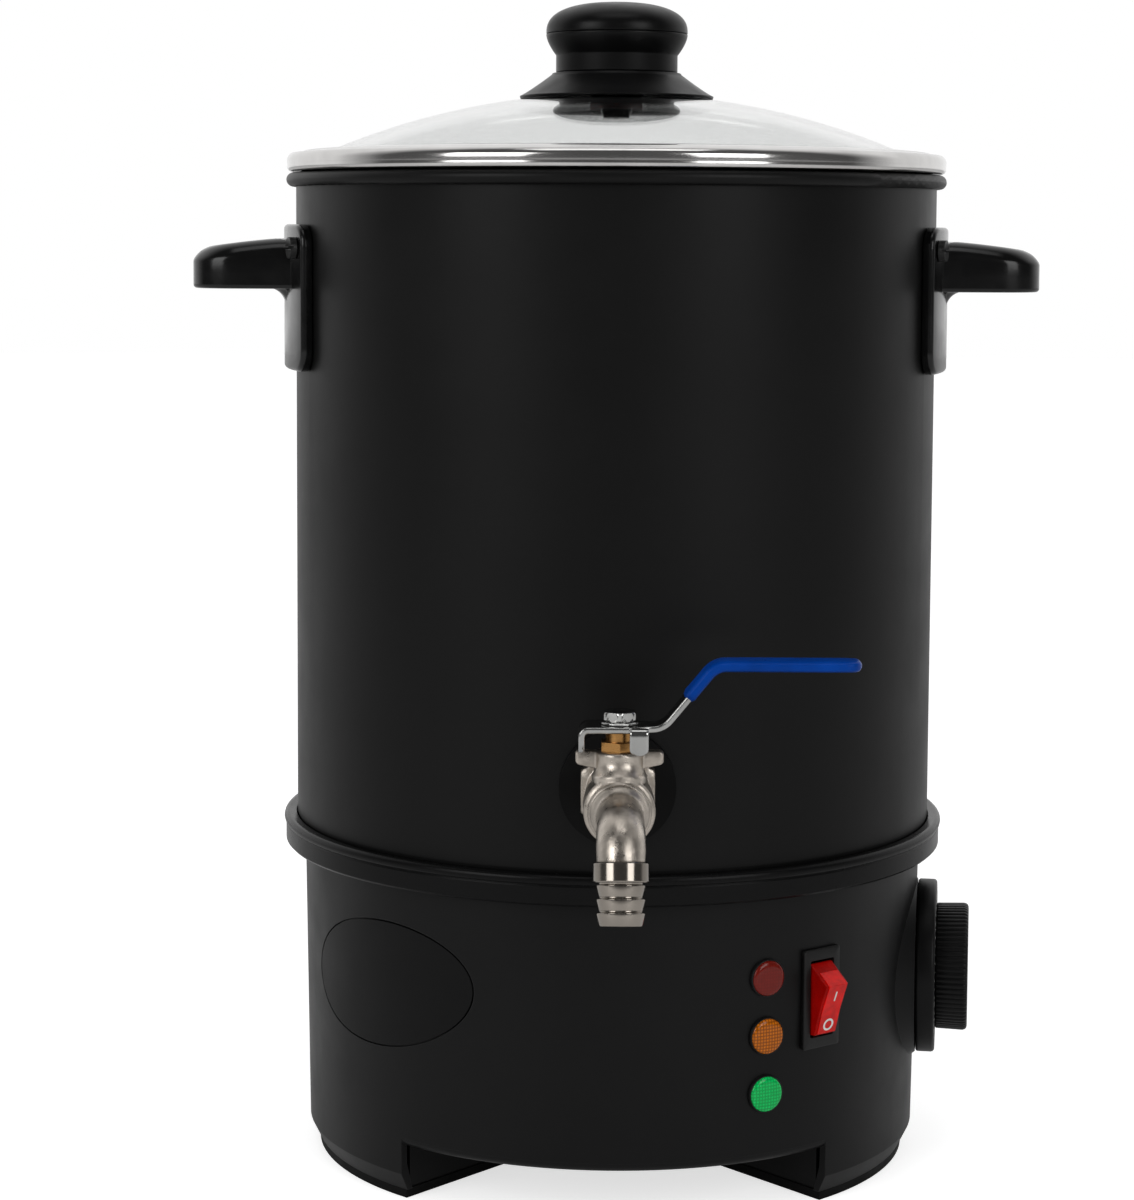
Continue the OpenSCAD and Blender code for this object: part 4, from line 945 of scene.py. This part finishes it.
class MELTER_OT_valve(bpy.types.Operator):
    """Make the cast valve, its spout and its hose tail"""

    bl_idname = "melter.valve"
    bl_label = "Valve"

    def execute(self, context):
        size = sizes()
        z, stem = size.inlet_height / MM, size.stem_distance / MM
        inner, outer, bore = 113.05, 119.5, 9.4
        rings = hexagon_rings(23.0, [(inner, 12.2), (113.5, 12.9), (114.0, 13.3), (118.3, 13.3),
                                     (119.0, 12.9), (outer, 12.1)], HEX_TURN)
        rings += [circle(bore, level, once_round(96) + HEX_TURN) for level in (outer, inner)]
        ear = ear_shape(z)
        barrel = turned(barrel_profile(size.pot_radius / MM, stem))
        along_inlet = barrel, closed(np.stack(rings), ring=True)
        upright = boss_shape(z), ear, mirrored(ear)
        piece("valve_casting", [on_wall(shape, 0, z) for shape in along_inlet]
              + [moved(shape, (0, -stem, 0)) for shape in upright],
              "nickel", "melter", ["valve_body"], flat_angle=40)
        piece("bent_spout", [spout_shape(size)], "nickel", "melter",
              ["valve_spout"], flat_angle=50)
        top = z - BEND_RADIUS * (1 - math.sin(size.spout_tilt))
        tail = moved(leaned(turned(tail_profile()), -size.spout_tilt),
                     (0, -size.spout_distance / MM, top))
        piece("barbed_tail", [tail], "turned", "melter", ["hose_tail"],
              flat_angle=30)
        return {"FINISHED"}


# ---- lever

def crank(start):
    """Lever's crank in its own plane: bend up from the start angle, slope, bend level."""
    bend = 7.0
    foot = arc(9.67, STRIP_LEVEL + bend, bend, start, -39.5)
    head = arc(32.02, STRIP_LEVEL + 12.1, bend, 140.5, 90)
    share = np.linspace(0, 1, 14)[1:-1, None]
    return np.vstack([foot, foot[-1] * (1 - share) + head[0] * share, head])


def sleeve_shape(stem):
    """Dipped sleeve: a rounded bar carried along the lever.

    Over the last half width s runs from 0 to 1 and the width closes as the root of
    1 - s^2.2. The thickness closes the same way, with the square, over the last 1.7 mm,
    and a soft bead swells the open end.
    """
    low, high = box_mm("lever_sleeve")
    line = crank(-90)
    line = np.vstack([line, at_level(np.linspace(32.5, 72.7, 60), line[-1, 1])])
    line = line[line[:, 0] > 20.4]
    x, tip, half = line[:, 0], high[0], (high[1] - low[1]) / 2
    width = half * np.sqrt(1 - np.clip((x - (tip - half)) / half, 0, 0.9985) ** 2.2)
    thick = 1.78 * np.sqrt(1 - np.clip((x - (tip - 1.7)) / 1.7, 0, 0.985) ** 2)
    start = x - x[0]
    bead = 1 + 0.05 * np.exp(-((start - 1.0) / 0.7) ** 2) - 0.22 * (1 - eased(start, -0.1, 0.7))
    outline = round_box(2.0, 2.0, 0.62, corner=6, sides=4)
    path = np.column_stack([x, np.full_like(x, -stem), line[:, 1]])
    normals = np.cross((0, 1.0, 0), unit(np.gradient(path, axis=0)))
    return swept(path, scaled_sections(outline, width * bead, thick * bead),
                 normals * np.sign(normals[:, 2:3]))


def strip_shape(stem):
    """Pressed strip of the lever: the left tab, the hub and the crank in one bar.

    The left tab is bent down over an arc. Half the bar's width is 7.5 mm at the hub and
    goes to 5 mm by a smooth step at the hub's end, and it is 1 mm less at the tab's tip.
    """
    z = STRIP_LEVEL
    left = np.vstack([[(-11.5, 162.0), (-11.5, 163.2), (-11.5, 164.8)],
                      arc(-9.4, z - 2.1, 2.1, 180, 90, 7)])
    bent = crank(-88)
    line = np.vstack([left, at_level(np.linspace(-8.4, 6.2, 14), z), bent,
                      at_level(np.linspace(33.0, 64.0, 20), bent[-1, 1])])
    tangent = unit(np.gradient(line, axis=0))
    zero = np.zeros(len(line))
    along = np.concatenate([[0], np.cumsum(np.linalg.norm(np.diff(line, axis=0), axis=1))])
    hub_end = along[len(left) + 13]
    half = 5.0 + 2.5 * (1 - eased(along, hub_end - 3.5, hub_end + 2.5))
    half -= 1.0 * (1 - eased(along, -0.1, 1.4))
    section = round_box(2.0, 1.9, 0.5, corner=4)
    spread = np.column_stack([np.sign(section[:, 0]), np.zeros(len(section))])
    return swept(np.column_stack([line[:, 0], zero - stem, line[:, 1]]),
                 section + spread * (half - 1.0)[:, None, None],
                 np.column_stack([-tangent[:, 1], zero, tangent[:, 0]]))


def tab_shape(stem):
    """Right tab: a bar that folds forward off the hub and down, with a rounded tip."""
    z = STRIP_LEVEL
    down = np.vstack([[(-7.0, z), (-7.6, z)], arc(-7.5, z - 1.1, 1.1, 100, 170, 5),
                      at_level(np.linspace(z - 2.0, 161.5, 16), -8.55)[:, ::-1]])
    slant = unit(np.gradient(down, axis=0))
    tip = np.clip((163.6 - down[:, 1]) / 2.2, 0, 0.97)
    outline = round_box(2.0, 1.7, 0.4, corner=4)
    return swept(np.column_stack([np.full(len(down), 5.7), down[:, 0] - stem, down[:, 1]]),
                 scaled_sections(outline, 2.85 * np.sqrt(1 - tip ** 2.4), 1.0),
                 np.column_stack([np.zeros(len(down)), slant[:, 1], -slant[:, 0]]))


def bolt_shapes(stem):
    """The lever's closed nut on its washer."""
    low, high = box_mm("lever_nut")
    seat, top = 0.95, high[2] - low[2]
    rings = hexagon_rings(9.6, [(seat, 4.8), (1.45, 5.5), (top - 0.75, 5.5), (top - 0.25, 5.0),
                                (top - 0.02, 4.3)], HEX_TURN)
    lower, upper = (circle(0.02, level, once_round(96)) for level in (seat, top - 0.02))
    washer = turned([(0, 0.02), (5.7, 0.02), (5.95, 0.2), (5.95, 0.6), (5.7, 0.85), (0, seat)], 96)
    return [moved(shape, (0, -stem, low[2]))
            for shape in (closed(np.stack([lower, *rings, upper])), washer)]


class MELTER_OT_lever(bpy.types.Operator):
    """Make the lever's pressed strip, its dipped sleeve and its nut"""

    bl_idname = "melter.lever"
    bl_label = "Lever"

    def execute(self, context):
        stem = sizes().stem_distance / MM
        piece("dipped_sleeve", [sleeve_shape(stem)], "sleeve", "lever",
              ["lever_sleeve"], flat_angle=60)
        piece("pressed_strip", [strip_shape(stem), tab_shape(stem)], "plated", "lever",
              ["lever_handle"], flat_angle=50)
        piece("lever_bolt", bolt_shapes(stem), "plated", "lever", ["lever_nut"],
              flat_angle=28)
        return {"FINISHED"}


# ---- dial

def grip_shape():
    """Fluted grip: the radius rises and falls 72 times round it, and eases at both ends.

    radius = R - 0.45 (1 - |cos(36 t)|^0.6) in the fluted part, and the face is a
    shallow dish with a rounded rim.
    """
    flutes, per_flute, top = 72, 8, 11.0
    t = once_round(flutes * per_flute)
    flute = 0.45 * (1 - np.abs(np.cos(flutes / 2 * t)) ** 0.6)
    rows = [(0.02, 0.02, 0), (0.02, 20.9, 0), (0.05, 21.2, 0.3), (0.5, 21.55, 1),
            (top - 1.5, 21.85, 1), (top - 0.75, 21.6, 0.8), (top - 0.3, 21.2, 0.3),
            (top - 0.05, 20.6, 0), (top, 19.9, 0), (top, 18.6, 0), (top - 0.5, 18.0, 0),
            (top - 0.62, 16.5, 0), (top - 0.7, 8.0, 0), (top - 0.7, 0.02, 0)]
    return closed(np.stack([circle(radius - flute * share, level, t)
                            for level, radius, share in rows]))


def scale_marks(count):
    """Scale on the dial's disc: short and long radial bars, each a thin closed box.

    They run over three quarters of the disc, and every fifth bar is long.
    """
    shapes = []
    for index in range(count):
        width, length = (0.55, 3.0) if index % 5 == 0 else (0.28, 1.7)
        bar = plate(length, width, 0.1, [(0.0, 6.37), (0.0, 6.42)], corner=1)
        shapes.append(rolled(moved(bar, (28.6 - length / 2, 0, 0)),
                             SCALE_START - SCALE_SPAN * index / (count - 1)))
    return shapes


class MELTER_OT_dial(bpy.types.Operator):
    """Make the thermostat dial with its printed scale and fluted grip"""

    bl_idname = "melter.dial"
    bl_label = "Dial"

    def execute(self, context):
        size = sizes()
        height = size.dial_height / MM
        back = wall_radius(height) + 0.9
        disc = turned([(0, 0.02), (29.2, 0.02), (29.65, 0.45), (29.7, 0.9), (29.7, 5.3),
                       (29.5, 5.9), (28.9, 6.35), (22.2, 6.38), (0, 6.38)], 192)
        grip = moved(grip_shape(), (0, 0, 6.45))
        rib = plate(15.0, 1.3, 0.6, [(0.15, 16.7), (0.0, 16.9), (0.0, 17.2), (0.2, 17.42)], 4)
        pointer = rolled(moved(rib, (10.5, 0, 0)), SCALE_START)
        for name, shapes, finish_name, slot, parts, flat_angle in (
                ("scale_disc", [disc], "dial", "dial_plastic", ["dial_disc"], 40),
                ("scale_print", scale_marks(size.dial_marks), "print", "white_plastic", (), 35),
                ("fluted_grip", [grip], "dial", "dial_plastic", ["dial_grip"], 30),
                ("grip_pointer", [pointer], "print", "white_plastic", (), 35)):
            shapes = [on_wall(moved(shape, (0, 0, back)), size.dial_turn, height)
                      for shape in shapes]
            piece(name, shapes, finish_name, "dial", parts, flat_angle)
        return {"FINISHED"}


# ---- switch and lamps

def band(outer, inner, width):
    """Bar with a flat side profile: the outline runs along the outer path and back by the inner.

    The outline lies across (y, z) and is carried along x from minus to plus half the width.
    """
    outline = np.vstack([outer, inner[::-1]])
    return closed(np.stack([at_level(outline, x)[:, [2, 0, 1]] for x in (-width / 2, width / 2)]))


def rocker_shapes():
    """Rocker's body, the raised window over its ridge, and the marks on and off.

    The side profile falls slightly from both ridges to the middle, and the window
    follows it 0.3 higher. The marks are a bar and a ring.
    """
    front = np.array([[-12.7, 0.6], [-8.9, 10.2], [0, 9.85], [9.3, 10.3], [12.6, 0.6]])
    back = np.array([[-9, -2.5], [-4.5, -6], [0, -8], [4.5, -6], [9, -2.5]])
    over = np.array([[-8.3, 10.5], [0, 10.15], [9.5, 10.62], [11.45, 4.9]])
    under = np.array([[-8.3, 9.9], [0, 9.6], [9.0, 9.9], [10.9, 4.7]])
    mark = 0.12
    bar = moved(leaned(plate(0.55, 3.6, 0.2, [(0, 0), (0, mark)], 3), 0.049), (0, 5.3, 10.39))
    ring = turned([(1.45, 0), (2.15, 0), (2.15, mark), (1.45, mark)], 48)
    ring = moved(leaned(ring, -0.042), (0, -5.2, 10.35))
    return [band(front, back, 9.4)], [band(over, under, 7.8)], [bar, ring]


def frame_shape():
    """Switch bezel: a rectangular ring whose outer edge is rounded over."""
    outer = [round_box(15.6, 32.8, 1.0, inset, 6) for inset in (0, 0, 0.15, 0.6)]
    inner = [round_box(10.1, 25.2, 0.5, inset, 6) for inset in (-0.1, 0.0, 0.0)]
    levels = (0.02, 0.9, 1.35, 1.5, 1.5, 1.35, -4.0)
    rows = [at_level(line, level) for line, level in zip(outer + inner, levels)]
    return closed(np.stack(rows), ring=True)


def lens_shapes(edge):
    """Lamp lens, a low dome with a rounded edge, and the thin raised rim round it.

    height = 1.15 + 0.25 (1 - r^2) + 0.8 (1 - r^6)^0.5, with r from 0 to 1 at the edge.
    """
    r, clear = np.linspace(1, 0, 25), edge - 0.45
    dome_line = np.column_stack([clear * r, 1.15 + 0.25 * (1 - r ** 2) + 0.8 * (1 - r ** 6) ** 0.5])
    rim = turned([(edge - 0.5, 0), (edge, 0), (edge, 0.8), (edge - 0.15, 1.15),
                  (edge - 0.35, 1.2), (edge - 0.5, 0.9)], 96)
    return turned(np.vstack([[(0, -0.5), (clear, -0.5)], dome_line]), 96), rim


class MELTER_OT_switch(bpy.types.Operator):
    """Make the rocker switch with its bezel, and the three lamp lenses with their rims"""

    bl_idname = "melter.switch"
    bl_label = "Switch and lamps"

    def execute(self, context):
        size = sizes()
        height, proud = size.switch_height / MM, 0.1
        face = wall_radius(height) + proud
        body, window, marks = rocker_shapes()
        for name, shapes, finish_name, slot, parts, bevel in (
                ("rocker_body", body, "rocker", "rocker_red", ["switch_rocker"], 0.5),
                ("rocker_window", window, "rocker_inset", "rocker_red", (), 0.12),
                ("rocker_marks", marks, "print", "white_plastic", (), 0)):
            shapes = [on_wall(moved(leaned(shape, size.rocker_tilt), (0, 0, face - 3.8)),
                              size.switch_turn, height) for shape in shapes]
            piece(name, shapes, finish_name, "rocker", parts, bevel=bevel)
        bezel = on_wall(moved(frame_shape(), (0, 0, face)), size.switch_turn, height)
        piece("switch_bezel", [bezel], "switch", "melter")
        rims = []
        for place, colour in ((2, "red"), (1, "amber"), (0, "green")):
            level = (size.lamp_height + place * size.lamp_pitch) / MM
            front = wall_radius(level) + proud
            dome_shape, rim = (on_wall(moved(shape, (0, 0, front)), size.lamp_turn, level)
                               for shape in lens_shapes(size.lamp_radius / MM))
            name = "lens_" + colour
            piece(name, [dome_shape], name, "melter", ["lamp_" + colour])
            rims.append(rim)
        piece("lens_rims", rims, "switch", "melter")
        return {"FINISHED"}


# ---- panel and running

OPERATORS = [
    MELTER_OT_stage, MELTER_OT_finishes, MELTER_OT_handles, MELTER_OT_lid, MELTER_OT_valve,
    MELTER_OT_lever, MELTER_OT_dial, MELTER_OT_switch,
]


class MELTER_PT_panel(bpy.types.Panel):
    """Sizes, colours and pieces of the melter"""

    bl_label = "Wax Melter"
    bl_idname = "MELTER_PT_panel"
    bl_space_type = "VIEW_3D"
    bl_region_type = "UI"
    bl_category = "Melter"

    def draw(self, context):
        layout = self.layout
        for group in (context.scene.melter_sizes, context.scene.melter_colours):
            box = layout.box()
            for name in group.bl_rna.properties.keys():
                if name not in {"rna_type", "name"}:
                    box.prop(group, name)
        for operator in OPERATORS:
            layout.operator(operator.bl_idname)


CLASSES = [MelterSizes, MelterColours, *OPERATORS, MELTER_PT_panel]


def register():
    for cls in CLASSES:
        bpy.utils.register_class(cls)
    bpy.types.Scene.melter_sizes = PointerProperty(type=MelterSizes)
    bpy.types.Scene.melter_colours = PointerProperty(type=MelterColours)


def unregister():
    del bpy.types.Scene.melter_sizes
    del bpy.types.Scene.melter_colours
    for cls in reversed(CLASSES):
        bpy.utils.unregister_class(cls)


def main():
    register()
    for operator in OPERATORS:
        group, name = operator.bl_idname.split(".")
        getattr(getattr(bpy.ops, group), name)()


if __name__ == "__main__":
    main()
